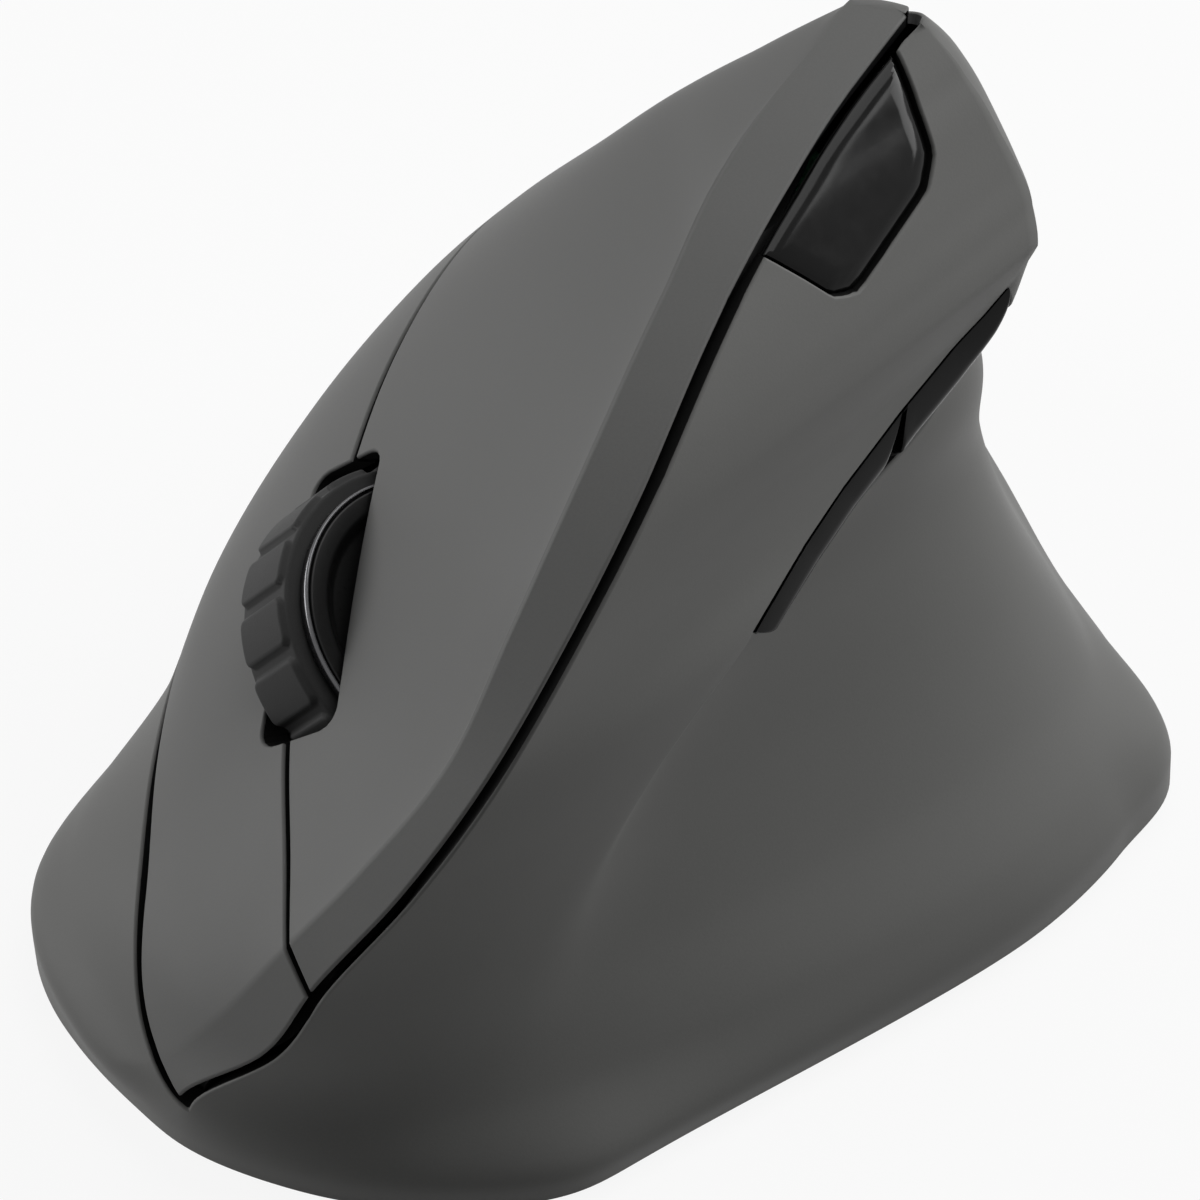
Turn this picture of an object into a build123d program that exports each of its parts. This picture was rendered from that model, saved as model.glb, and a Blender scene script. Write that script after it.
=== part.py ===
from build123d import *
import os

os.makedirs("parts", exist_ok=True)

# A right-handed vertical mouse. The nose points to -Y, the thumb side is +X, the finger side
# is -X, and +Z is up. The origin is on the table, under the middle of the body.

# Overall size
width = 82.0
length = 119.0
body_height = 71.6
body_foot = 0.8

# Walls and clearances
wall = 2.4
cover_wall = 2.0
frame_depth = 3.3
frame_wall = 1.6
groove_width = 1.5
seam_gap = 0.7
split_gap = 0.4
cross_gap = 0.5
clearance = 0.3
slip = 0.05
overrun = 30.0

# The body is a stack of level outlines. Each share is of the body's height, and each point is a
# share of the width and the length, from the middle. The outline runs from the groove along the
# spine plate to the edge of the thumb scoop, round the palm and the tail, and back along the
# finger side to the crease where the narrow front bevel starts.
level_shares = (0.0, 0.042, 0.105, 0.196, 0.307, 0.433, 0.559, 0.684, 0.796, 0.887, 0.957, 1.0)
spine_bow_shares = (0.03, 0.03, 0.025, 0.02, 0.015, 0.012, 0.01, 0.008, 0.006, 0.004, 0.002, 0.001)
groove_shares = (
    (-0.229, -0.482), (-0.223, -0.490), (-0.206, -0.498), (-0.122, -0.500),
    (-0.069, -0.495), (0.005, -0.477), (0.067, -0.446), (0.114, -0.395),
    (0.146, -0.310), (0.159, -0.197), (0.174, -0.069), (0.202, 0.058),
)
scoop_edge_shares = (
    (0.148, -0.436), (0.155, -0.435), (0.113, -0.406), (0.097, -0.378),
    (0.115, -0.360), (0.158, -0.322), (0.218, -0.251), (0.309, -0.005),
    (0.344, 0.052), (0.313, 0.057), (0.272, 0.057), (0.223, 0.055),
)
scoop_shares = (
    (0.362, -0.198), (0.372, -0.198), (0.355, -0.198), (0.291, -0.186),
    (0.243, -0.169), (0.229, -0.139), (0.256, -0.078), (0.318, 0.062),
    (0.300, 0.092), (0.277, 0.088), (0.254, 0.074), (0.224, 0.061),
)
heel_shares = (
    (0.485, 0.058), (0.485, 0.058), (0.463, 0.059), (0.407, 0.066),
    (0.344, 0.070), (0.290, 0.075), (0.286, 0.075), (0.232, 0.140),
    (0.232, 0.134), (0.238, 0.112), (0.234, 0.088), (0.217, 0.066),
)
palm_shares = (
    (0.245, 0.302), (0.238, 0.304), (0.210, 0.295), (0.177, 0.274),
    (0.147, 0.255), (0.130, 0.236), (0.135, 0.215), (0.140, 0.215),
    (0.165, 0.178), (0.190, 0.136), (0.203, 0.096), (0.203, 0.069),
)
tail_shares = (
    (-0.037, 0.495), (-0.035, 0.498), (-0.034, 0.495), (-0.031, 0.481),
    (-0.025, 0.454), (-0.014, 0.410), (0.009, 0.352), (0.047, 0.281),
    (0.089, 0.206), (0.134, 0.145), (0.160, 0.093), (0.185, 0.070),
)
hip_shares = (
    (-0.267, 0.360), (-0.266, 0.364), (-0.260, 0.355), (-0.246, 0.329),
    (-0.222, 0.297), (-0.188, 0.254), (-0.147, 0.205), (-0.085, 0.148),
    (-0.013, 0.101), (0.050, 0.072), (0.108, 0.062), (0.168, 0.069),
)
side_shares = (
    (-0.430, -0.093), (-0.444, -0.093), (-0.431, -0.093), (-0.410, -0.093),
    (-0.393, -0.091), (-0.338, -0.065), (-0.261, -0.046), (-0.172, -0.036),
    (-0.083, -0.021), (0.000, 0.004), (0.078, 0.025), (0.157, 0.067),
)
finger_shares = (
    (-0.475, -0.320), (-0.482, -0.315), (-0.437, -0.322), (-0.347, -0.347),
    (-0.264, -0.342), (-0.166, -0.321), (-0.082, -0.299), (-0.016, -0.262),
    (0.034, -0.196), (0.073, -0.120), (0.098, -0.033), (0.150, 0.063),
)
crease_shares = (
    (-0.315, -0.446), (-0.321, -0.455), (-0.254, -0.473), (-0.189, -0.476),
    (-0.126, -0.473), (-0.049, -0.456), (0.018, -0.427), (0.051, -0.378),
    (0.075, -0.295), (0.091, -0.184), (0.107, -0.060), (0.154, 0.058),
)
# The outline's curve runs through its points at these shares of its run.
edge_run_shares = (0.0, 0.119, 0.238, 0.358, 0.477, 0.596, 0.748, 0.889, 1.0)
groove_pull_share = 0.4

# Loft heights, as shares of the body's height: the levels, and one more between each two
loft_shares = tuple(
    share
    for low, high in zip(level_shares, level_shares[1:])
    for share in (low, (low + high) / 2)
) + (level_shares[-1],)
shell_top = 3


def body_z(share):
    return body_foot + share * body_height


def eased(table, share):
    """The table's value at a share of the height, on a smooth curve through its levels."""
    last = len(level_shares) - 1
    row = max(i for i in range(last) if level_shares[i] <= share or i == 0)
    step = level_shares[row + 1] - level_shares[row]
    part = (share - level_shares[row]) / step

    def slope(i):
        if i in (0, last):
            near = 1 if i == 0 else last - 1
            return (table[near] - table[i]) / (level_shares[near] - level_shares[i])
        before = (table[i] - table[i - 1]) / (level_shares[i] - level_shares[i - 1])
        after = (table[i + 1] - table[i]) / (level_shares[i + 1] - level_shares[i])
        return (before + after) / 2 if before * after > 0 else 0.0

    rise = table[row + 1] - table[row]
    low_slope = slope(row) * step - rise
    high_slope = rise - slope(row + 1) * step
    return table[row] + rise * part + part * (1 - part) * (low_slope * (1 - part) + high_slope * part)


def place(table, share):
    """A line's point in plan, in real sizes, at a share of the height."""
    x = eased([point[0] for point in table], share)
    y = eased([point[1] for point in table], share)
    return Vector(x * width, y * length)


def outline(share, inset):
    """Points of one level outline, each moved inwards, square to the line of its neighbours."""
    groove = place(groove_shares, share)
    edge = place(scoop_edge_shares, share)
    bow = eased(spine_bow_shares, share)
    middle = (groove + edge) / 2 + Vector(bow * groove_pull_share * width, -bow * length)
    ring = [groove, middle, edge]
    for table in (
        scoop_shares, heel_shares, palm_shares, tail_shares,
        hip_shares, side_shares, finger_shares, crease_shares,
    ):
        ring.append(place(table, share))
    moved = []
    for index, point in enumerate(ring):
        along = (ring[(index + 1) % len(ring)] - ring[index - 1]).normalized()
        moved.append(point + Vector(-along.Y, along.X) * inset)
    return moved


def skin(inset, heights):
    """The closed body, or the same body drawn in by the inset, lofted through the heights."""
    with BuildPart() as body:
        for share in heights:
            ring = outline(share, inset)
            with BuildSketch(Plane.XY.offset(body_z(share))):
                with BuildLine():
                    Spline(*ring[:3])
                    add(Edge.make_spline(ring[2:], parameters=edge_run_shares))
                    Line(ring[-1], ring[0])
                make_face()
        loft()
    return body.part


outer_skin = skin(0, loft_shares)
inner_skin = skin(wall, loft_shares[:-shell_top])
cover_skin = skin(cover_wall, loft_shares[:-shell_top])

# The parting surface is ruled from the groove to a line behind the tail.
parting_rear_share = 0.6
parting_rear_shares = (
    -0.015, -0.015, -0.017, -0.020, -0.018, -0.018, -0.009, 0.015, 0.045, 0.100, 0.116, 0.170,
)
parting_front_share = 0.15

# The lower seam of the finger side, as shares of length and body height.
seam_shares = (
    (-0.520, 0.050), (-0.484, 0.092), (-0.444, 0.120), (-0.394, 0.159),
    (-0.353, 0.193), (-0.290, 0.215), (-0.232, 0.226), (0.000, 0.247), (0.520, 0.290),
)


def above_seam(lift):
    """Everything above the lower seam line, which is raised by the lift."""
    points = [(y * length, body_foot + z * body_height + lift) for y, z in seam_shares]
    top = body_height + overrun
    with BuildPart() as block:
        with BuildSketch(Plane.YZ.offset(-width)):
            with BuildLine():
                Spline(*points)
                Polyline(points[-1], (points[-1][0], top), (points[0][0], top), points[0])
            make_face()
        extrude(amount=2 * width)
    return block.part


def finger_half(shift):
    """The finger side of the parting surface, which is shifted towards the thumb."""
    heights = (-level_shares[1],) + loft_shares + (level_shares[-1] + level_shares[1],)
    with BuildPart() as block:
        for share in heights:
            held = min(max(share, 0.0), 1.0)
            groove = place(groove_shares, held) + Vector(shift, 0)
            rear_x = eased(parting_rear_shares, held) * width + shift
            rear = Vector(rear_x, parting_rear_share * length)
            front = groove + (groove - rear) * parting_front_share
            with BuildSketch(Plane.XY.offset(body_z(share))):
                with BuildLine():
                    Polyline(front, rear, (-width, rear.Y), (-width, front.Y - length), front)
                make_face()
        loft()
    return block.part


def finger_window(shift, lift):
    """The part of space that the finger side covers fill, eased by a shift and a lift."""
    with BuildPart() as block:
        add(finger_half(shift))
        add(above_seam(lift), mode=Mode.INTERSECT)
    return block.part


shell_window = finger_window(groove_width / 2, 0)
cover_window = finger_window(-groove_width / 2, seam_gap)

# The finger face, with X along the fingers, Y down the face and Z out of it
finger_plane = Plane(
    origin=(-0.205 * width, -0.240 * length, 0.475 * body_height + body_foot),
    x_dir=(-0.148, 0.919, 0.366),
    z_dir=(-0.777, -0.337, 0.531),
)
# The row of thumb buttons, with X along the scoop's edge and Z out to the thumb
thumb_plane = Plane(
    origin=(0.277 * width, -0.106 * length, 0.635 * body_height + body_foot),
    x_dir=(0.242, 0.940, 0.242),
    z_dir=(0.935, -0.292, 0.203),
)
# The top of the spine plate, with X along the groove and Z out of the plate
spine_plane = Plane(
    origin=(0.225 * width, -0.053 * length, 0.922 * body_height + body_foot),
    x_dir=(0.151, 0.955, 0.255),
    z_dir=(0.651, -0.291, 0.701),
)

# Scroll wheel, its cradle and the guide walls
wheel_radius = 12.0
wheel_proud = 4.1
wheel_width = 7.6
wheel_side = 1.0
wheel_depth = wheel_radius - wheel_proud
slot_length = 24.2
slot_width = wheel_width + 1.4
slot_shift = -0.4
tyre_radius = 11.1
tyre_depth = 2.4
pad_count = 16
pad_width = 5.6
pad_gap = 0.9
pad_corner = 0.7
ring_width = 1.1
ring_radius = 11.3
ring_wall = 0.9
rim_band = 0.2
dish_radius = 9.4
dish_depth = 0.8
dish_slope = 45
boss_radius = 3.0
axle_radius = 1.5
axle_play = 0.04
ear_gap = 4.6
ear_width = 1.8
ear_length = 10.0
ear_top = -5.1
cradle_floor = -20.6
cradle_thickness = 1.4
rib_width = 3.0
rib_depth = 1.0
guide_wall = 2.0
guide_length = 10.0
rear_guide_length = 16.0
wheel_board_top = -25.0
encoder_size = 6.4
encoder_depth = 2.8
encoder_window = 8.4
encoder_window_low = -12.6

# Push switches, one under each button, and the boards that carry them
switch_length = 12.8
switch_width = 5.8
switch_height = 6.2
plunger_radius = 1.2
plunger_height = 0.6
press_travel = 0.5
board_thickness = 1.2
switch_top = -7.7
switch_u = -15.0
left_switch_v = -7.5
right_switch_v = 10.5
stem_radius = 1.6
stem_play = 0.6
tact_length = 6.0
tact_width = 3.6
tact_height = 3.0
tact_plunger = 1.0
middle_switch_height = 1.9
middle_switch_size = 6.0
middle_switch_u = 2.4
wheel_spring_u = -3.6
wheel_spring_radius = 1.3
wheel_spring_wire = 0.25
wheel_spring_pitch = 0.85

# Small screws that hold the boards to their posts
screw_radius = 0.7
screw_head_radius = 1.4
screw_head = 1.0
screw_length = 4.0
stand_radius = 1.8

# The split between the two buttons, in the finger plane, as shares of the length
split_front_shares = ((-0.420, -0.060), (-0.252, -0.013), (-0.193, -0.002), (-0.102, 0.018))
split_rear_shares = (
    (0.092, 0.005), (0.158, -0.002), (0.212, -0.014), (0.277, -0.028), (0.600, -0.110),
)
cross_seam_share = 0.080


def split_half(side):
    """The half of the finger plane on one side of the split, as a tall block."""
    shift = side * split_gap / 2
    points = [(x * length, y * length + shift) for x, y in split_front_shares + split_rear_shares]
    edge = side * length
    with BuildPart() as block:
        with BuildSketch(finger_plane.offset(-length / 2)):
            with BuildLine():
                Spline(*points)
                Polyline(points[-1], (points[-1][0], edge), (points[0][0], edge), points[0])
            make_face()
        extrude(amount=length)
    return block.part


def behind_seam(gap):
    """Everything behind the cross seam, which is eased by the gap."""
    with BuildPart() as block:
        with BuildSketch(Plane.XZ.offset(-cross_seam_share * length - gap)):
            Rectangle(2 * width, 4 * body_height)
        extrude(amount=-length)
    return block.part


def peg(plane, u, v, radius, low, high):
    """A round peg or hole cutter square to the plane, between two heights over it."""
    with BuildPart() as block:
        with BuildSketch(plane.offset(low)):
            with Locations((u, v)):
                Circle(radius)
        extrude(amount=high - low)
    return block.part


def slab(plane, u, v, along, across, low, high):
    """A square-cornered block or cutter on the plane, between two heights over it."""
    with BuildPart() as block:
        with BuildSketch(plane.offset(low)):
            with Locations((u, v)):
                Rectangle(along, across)
        extrude(amount=high - low)
    return block.part


def pad(plane, u, v, along, across, low, high):
    """A round-ended block or cutter on the plane, between two heights over it."""
    with BuildPart() as block:
        with BuildSketch(plane.offset(low)):
            with Locations((u, v)):
                RectangleRounded(along, across, min(along, across) * pad_round_share)
        extrude(amount=high - low)
    return block.part


pad_round_share = 0.49


def inside(block, limit):
    """The block trimmed by a skin, so that it ends in a wall and not in front of it."""
    with BuildPart() as trimmed:
        add(block)
        add(limit, mode=Mode.INTERSECT)
    return trimmed.part


def push_switch(plane, u, v, along, across, height, plunger, top):
    """A push switch: its case and its plunger."""
    with BuildPart() as case:
        add(slab(plane, u, v, along, across, top - height, top))
        add(peg(plane, u, v, plunger, top, top + plunger_height))
    return case.part


def board_screw(plane, u, v, board_low):
    """A small screw with its head under a board and its shank in a post."""
    with BuildPart() as screw:
        add(peg(plane, u, v, screw_head_radius, board_low - screw_head, board_low))
        shank_top = board_low + board_thickness + screw_length
        add(peg(plane, u, v, screw_radius, board_low, shank_top))
    return screw.part


# Where each stem ends over its switch at rest
stem_reach = plunger_height + press_travel + slip

stem_skin = skin(cover_wall / 2, loft_shares[:-shell_top])
post_skin = skin(wall / 2, loft_shares[:-shell_top])

# The frame is the body's inner skin moved inwards, square to the finger face and its bevel
frame_way = Vector(0.60, 0.45, -0.66)
frame_drop = frame_way * (frame_depth - wall)
frame_middle = frame_way * (frame_depth - wall + frame_wall / 2)
frame_back = frame_way * (frame_depth - wall + frame_wall)
frame_seat = inner_skin.translate(frame_way * (frame_depth - wall - slip))
frame_face = inner_skin.translate(frame_drop)
frame_core = inner_skin.translate(frame_middle)

# Wheel slot, cut straight through the covers
with BuildPart() as wheel_slot:
    with BuildSketch(finger_plane.offset(-wheel_radius)):
        with Locations((slot_shift, wheel_side)):
            RectangleRounded(slot_length, slot_width, slot_width / 4)
    extrude(amount=wheel_radius + overrun)

with BuildPart() as cover_blank:
    add(outer_skin)
    add(cover_skin, mode=Mode.SUBTRACT)
    add(cover_window, mode=Mode.INTERSECT)
    add(wheel_slot.part, mode=Mode.SUBTRACT)


def rest_on_frame(block):
    """What of the block lies between a cover's wall and the frame, just clear of its outer face."""
    with BuildPart() as rest:
        add(block)
        add(stem_skin, mode=Mode.INTERSECT)
        add(frame_seat, mode=Mode.SUBTRACT)
    return rest.part


# Hinge ribs under the rear ends of the two buttons, and the palm cover's rests
hinge_u = 34.0
hinge_rib = 1.2
hinge_rib_length = 6.0
left_hinge_v = -9.0
right_hinge_v = 10.0
palm_rest_radius = 1.8
palm_rest_shares = ((0.403, -0.034), (0.403, 0.151), (0.487, 0.067))
reach = 34.0


def cover_stem(v):
    """The peg of a button over its switch."""
    low = switch_top + stem_reach
    return inside(peg(finger_plane, switch_u, v, stem_radius, low, wheel_radius), stem_skin)


def cover_hinge(v):
    """The rib that a button turns on, at its rear end."""
    rib = slab(finger_plane, hinge_u, v, hinge_rib, hinge_rib_length, -wheel_radius, wheel_radius)
    return rest_on_frame(rib)


# Left button, under the index finger, on the ridge side of the split
with BuildPart() as left_button:
    add(cover_blank.part)
    add(split_half(-1), mode=Mode.INTERSECT)
    add(behind_seam(-cross_gap / 2), mode=Mode.SUBTRACT)
    add(cover_stem(left_switch_v))
    add(cover_hinge(left_hinge_v))
left_button.part.label = "left_button"
export_step(left_button.part, "parts/left_button.step")

# Right button, under the middle finger
with BuildPart() as right_button:
    add(cover_blank.part)
    add(split_half(1), mode=Mode.INTERSECT)
    add(behind_seam(-cross_gap / 2), mode=Mode.SUBTRACT)
    add(cover_stem(right_switch_v))
    add(cover_hinge(right_hinge_v))
right_button.part.label = "right_button"
export_step(right_button.part, "parts/right_button.step")

# Palm cover
with BuildPart() as palm_cover:
    add(cover_blank.part)
    add(behind_seam(cross_gap / 2), mode=Mode.INTERSECT)
    for u_share, v_share in palm_rest_shares:
        rest_peg = peg(
            finger_plane, u_share * length, v_share * length, palm_rest_radius, -reach, wheel_radius
        )
        add(rest_on_frame(rest_peg))
palm_cover.part.label = "palm_cover"
export_step(palm_cover.part, "parts/palm_cover.step")

# Black inner frame under the covers, which shows in the groove. Its lower edge laps behind the
# shell, and small bosses there seat it on the shell's inside.
frame_lap = 4.0
lap_boss_radius = 1.5
lap_boss_drop = 2.2
lap_boss_shares = ((-0.378, 0.166), (-0.126, 0.236), (0.168, 0.257), (0.330, 0.266))
frame_window = finger_window(groove_width / 2 - clearance, -frame_lap)
guide_offset = ear_gap + ear_width + slip + guide_wall / 2
frame_opening = 2 * (ear_gap + ear_width + slip)
wheel_post_u = -19.5
front_post_v = -1.5
rear_post_v = 5.0
finger_board_top = switch_top - switch_height
left_guide_screw_u = 3.4
right_guide_screw_u = -6.0

with BuildPart() as lap_bosses:
    for y_share, z_share in lap_boss_shares:
        boss_z = body_z(z_share) - lap_boss_drop
        with BuildSketch(Plane.YZ.offset(-width)):
            with Locations((y_share * length, boss_z)):
                Circle(lap_boss_radius)
        extrude(amount=width)
    add(inner_skin, mode=Mode.INTERSECT)
    add(frame_core, mode=Mode.SUBTRACT)
    add(frame_window, mode=Mode.INTERSECT)

with BuildPart() as guides:
    guide_low = wheel_board_top
    add(
        slab(
            finger_plane, 0, wheel_side - guide_offset, guide_length, guide_wall,
            guide_low, wheel_radius,
        )
    )
    add(
        slab(
            finger_plane, 0, wheel_side + guide_offset, rear_guide_length, guide_wall,
            guide_low, wheel_radius,
        )
    )
    for v in (front_post_v, rear_post_v):
        add(peg(finger_plane, wheel_post_u, v, stand_radius, finger_board_top, wheel_radius))
    add(frame_core, mode=Mode.INTERSECT)

with BuildPart() as button_frame:
    add(frame_face)
    add(inner_skin.translate(frame_back), mode=Mode.SUBTRACT)
    add(frame_window, mode=Mode.INTERSECT)
    add(
        slab(
            finger_plane, slot_shift, wheel_side, slot_length, frame_opening,
            -wheel_radius, wheel_radius,
        ),
        mode=Mode.SUBTRACT,
    )
    for v in (left_switch_v, right_switch_v):
        hole = stem_radius + stem_play
        add(
            peg(finger_plane, switch_u, v, hole, switch_top, wheel_radius),
            mode=Mode.SUBTRACT,
        )
    add(guides.part)
    add(lap_bosses.part)
    add(
        slab(
            finger_plane, 0, wheel_side - ear_gap - ear_width, rib_width + 2 * slip,
            2 * (rib_depth + 2 * slip), guide_low, wheel_radius,
        ),
        mode=Mode.SUBTRACT,
    )
    add(
        slab(
            finger_plane, 0, wheel_side + guide_offset, encoder_window, 2 * guide_wall,
            encoder_window_low, ear_top + 2 * clearance,
        ),
        mode=Mode.SUBTRACT,
    )
    for v in (front_post_v, rear_post_v):
        post_hole_top = finger_board_top + screw_length
        add(
            peg(finger_plane, wheel_post_u, v, screw_radius, finger_board_top, post_hole_top),
            mode=Mode.SUBTRACT,
        )
    for u, side in ((left_guide_screw_u, -1), (right_guide_screw_u, 1)):
        hole_v = wheel_side + side * guide_offset
        add(
            peg(finger_plane, u, hole_v, screw_radius, guide_low, guide_low + screw_length),
            mode=Mode.SUBTRACT,
        )
button_frame.part.label = "button_frame"
export_step(button_frame.part, "parts/button_frame.step")

# Wheel, in a plane at its centre with Z along its axle towards the lower side
wheel_plane = Plane(
    origin=finger_plane.from_local_coords(Vector(0, wheel_side, -wheel_depth)),
    x_dir=finger_plane.x_dir,
    z_dir=finger_plane.y_dir,
)
wheel_low = -wheel_width / 2
wheel_high = wheel_width / 2
tyre_low = wheel_low + ring_width
tyre_high = wheel_high - rim_band
tyre_middle = (tyre_low + tyre_high) / 2
hub_radius = tyre_radius - tyre_depth
pad_pitch = 2 * 3.14159 * wheel_radius / pad_count

with BuildPart() as tyre_pads:
    for index in range(pad_count):
        turn = 360 / pad_count * index
        way = wheel_plane.x_dir.rotate(Axis((0, 0, 0), wheel_plane.z_dir), turn)
        face = Plane(origin=wheel_plane.origin, x_dir=wheel_plane.z_dir, z_dir=way)
        with BuildSketch(face.offset(tyre_radius - pad_gap)):
            with Locations((tyre_middle, 0)):
                RectangleRounded(pad_width, pad_pitch - pad_gap, pad_corner)
        extrude(amount=wheel_radius)
    add(peg(wheel_plane, 0, 0, wheel_radius, -wheel_radius, wheel_radius), mode=Mode.INTERSECT)

with BuildPart() as wheel_tyre:
    add(peg(wheel_plane, 0, 0, tyre_radius, tyre_low, tyre_high))
    add(tyre_pads.part)
    add(peg(wheel_plane, 0, 0, hub_radius, tyre_low, tyre_high), mode=Mode.SUBTRACT)
wheel_tyre.part.label = "wheel_tyre"
export_step(wheel_tyre.part, "parts/wheel_tyre.step")

# Bright ring on the ridge side of the wheel
with BuildPart() as wheel_ring:
    add(peg(wheel_plane, 0, 0, ring_radius, wheel_low, tyre_low))
    add(peg(wheel_plane, 0, 0, ring_radius - ring_wall, wheel_low, tyre_low), mode=Mode.SUBTRACT)
wheel_ring.part.label = "wheel_ring"
export_step(wheel_ring.part, "parts/wheel_ring.step")

# Hub, with a dished side and bosses that run between the cradle's ears
with BuildPart() as wheel_hub:
    add(peg(wheel_plane, 0, 0, hub_radius, wheel_low, wheel_high))
    add(peg(wheel_plane, 0, 0, ring_radius - ring_wall, wheel_low, tyre_low))
    with BuildSketch(wheel_plane.offset(wheel_low)):
        Circle(dish_radius)
    extrude(amount=dish_depth, taper=dish_slope, mode=Mode.SUBTRACT)
    add(peg(wheel_plane, 0, 0, boss_radius, slip - ear_gap, ear_gap - slip))
    add(peg(wheel_plane, 0, 0, axle_radius, -ear_gap, ear_gap), mode=Mode.SUBTRACT)
wheel_hub.part.label = "wheel_hub"
export_step(wheel_hub.part, "parts/wheel_hub.step")

# Axle, pressed into the hub
axle_low = -ear_gap - ear_width + slip
axle_high = ear_gap + ear_width + encoder_depth - rim_band
with BuildPart() as wheel_axle:
    add(peg(wheel_plane, 0, 0, axle_radius, axle_low, axle_high))
wheel_axle.part.label = "wheel_axle"
export_step(wheel_axle.part, "parts/wheel_axle.step")

# Cradle that carries the wheel and slides down when the wheel is pressed
ear_v = ear_gap + ear_width / 2
cradle_low = cradle_floor - cradle_thickness
cradle_width = 2 * (ear_gap + ear_width)
with BuildPart() as wheel_cradle:
    add(slab(finger_plane, 0, wheel_side, ear_length, cradle_width, cradle_low, ear_top))
    add(
        slab(
            finger_plane, 0, wheel_side, 2 * ear_length, 2 * ear_gap, cradle_floor, wheel_radius,
        ),
        mode=Mode.SUBTRACT,
    )
    rib_v = wheel_side - ear_gap - ear_width - rib_depth / 2
    add(slab(finger_plane, 0, rib_v, rib_width, rib_depth, cradle_low, ear_top))
    bore = axle_radius + axle_play
    add(peg(wheel_plane, 0, 0, bore, -wheel_radius, wheel_radius), mode=Mode.SUBTRACT)
wheel_cradle.part.label = "wheel_cradle"
export_step(wheel_cradle.part, "parts/wheel_cradle.step")

# Encoder on the cradle's lower ear
with BuildPart() as wheel_encoder:
    with BuildSketch(wheel_plane.offset(ear_gap + ear_width)):
        Rectangle(encoder_size, encoder_size)
        Circle(axle_radius + axle_play, mode=Mode.SUBTRACT)
    extrude(amount=encoder_depth)
wheel_encoder.part.label = "wheel_encoder"
export_step(wheel_encoder.part, "parts/wheel_encoder.step")


def coil(place_plane, radius, wire, pitch, height, cone):
    """A wire coil that stands on the plane."""
    start = place_plane.origin + place_plane.z_dir * wire
    with BuildPart() as wound:
        with BuildLine():
            path = Helix(
                pitch=pitch, height=height - 2 * wire, radius=radius, center=start,
                direction=place_plane.z_dir, cone_angle=cone,
            )
        with BuildSketch(Plane(origin=path @ 0, z_dir=path % 0)):
            Circle(wire)
        sweep(is_frenet=True)
    return wound.part


# Return spring under the cradle's floor, drawn at the length it has when the wheel is pressed
spring_plane = Plane(
    origin=finger_plane.from_local_coords(Vector(wheel_spring_u, wheel_side, cradle_low)),
    x_dir=finger_plane.x_dir,
    z_dir=-finger_plane.z_dir,
)
spring_height = cradle_low - wheel_board_top - press_travel - slip
with BuildPart() as wheel_spring:
    add(
        coil(
            spring_plane, wheel_spring_radius, wheel_spring_wire, wheel_spring_pitch,
            spring_height, 0,
        )
    )
wheel_spring.part.label = "wheel_spring"
export_step(wheel_spring.part, "parts/wheel_spring.step")

# Board under the cradle, screwed to the guide walls
wheel_board_low = wheel_board_top - board_thickness
wheel_board_length = rear_guide_length
wheel_board_width = 2 * (guide_offset + guide_wall / 2)
with BuildPart() as wheel_board:
    add(
        slab(
            finger_plane, 0, wheel_side, wheel_board_length, wheel_board_width,
            wheel_board_low, wheel_board_top,
        )
    )
    for u, side in ((left_guide_screw_u, -1), (right_guide_screw_u, 1)):
        hole_v = wheel_side + side * guide_offset
        add(
            peg(finger_plane, u, hole_v, screw_radius, wheel_board_low, wheel_board_top),
            mode=Mode.SUBTRACT,
        )
wheel_board.part.label = "wheel_board"
export_step(wheel_board.part, "parts/wheel_board.step")

# Switch under the cradle
middle_top = wheel_board_top + middle_switch_height
middle_plunger_top = cradle_low - press_travel - slip
with BuildPart() as middle_switch:
    add(
        slab(
            finger_plane, middle_switch_u, wheel_side, middle_switch_size, middle_switch_size,
            wheel_board_top, middle_top,
        )
    )
    add(
        peg(
            finger_plane, middle_switch_u, wheel_side, plunger_radius, middle_top,
            middle_plunger_top,
        )
    )
middle_switch.part.label = "middle_switch"
export_step(middle_switch.part, "parts/middle_switch.step")

# Board for the two main switches
finger_board_low = finger_board_top - board_thickness
finger_board_front = switch_u - switch_length / 2 - slip
finger_board_rear = switch_u + switch_length / 2 - slip
finger_board_left = left_switch_v - switch_width / 2 - clearance
finger_board_right = right_switch_v + switch_width / 2 + clearance
notch_front = -wheel_radius - 2 * clearance
with BuildPart() as finger_board:
    add(
        slab(
            finger_plane, (finger_board_front + finger_board_rear) / 2,
            (finger_board_left + finger_board_right) / 2,
            finger_board_rear - finger_board_front, finger_board_right - finger_board_left,
            finger_board_low, finger_board_top,
        )
    )
    add(
        slab(
            finger_plane, notch_front + wheel_radius, wheel_side, 2 * wheel_radius,
            slot_width + 2 * clearance, -reach, wheel_radius,
        ),
        mode=Mode.SUBTRACT,
    )
    for v in (front_post_v, rear_post_v):
        add(
            peg(
                finger_plane, wheel_post_u, v, screw_radius, finger_board_low, finger_board_top,
            ),
            mode=Mode.SUBTRACT,
        )
finger_board.part.label = "finger_board"
export_step(finger_board.part, "parts/finger_board.step")

# Main switches
with BuildPart() as button_switches:
    for v in (left_switch_v, right_switch_v):
        add(
            push_switch(
                finger_plane, switch_u, v, switch_length, switch_width, switch_height,
                plunger_radius, switch_top,
            )
        )
button_switches.part.label = "button_switches"
export_step(button_switches.part, "parts/button_switches.step")

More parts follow.
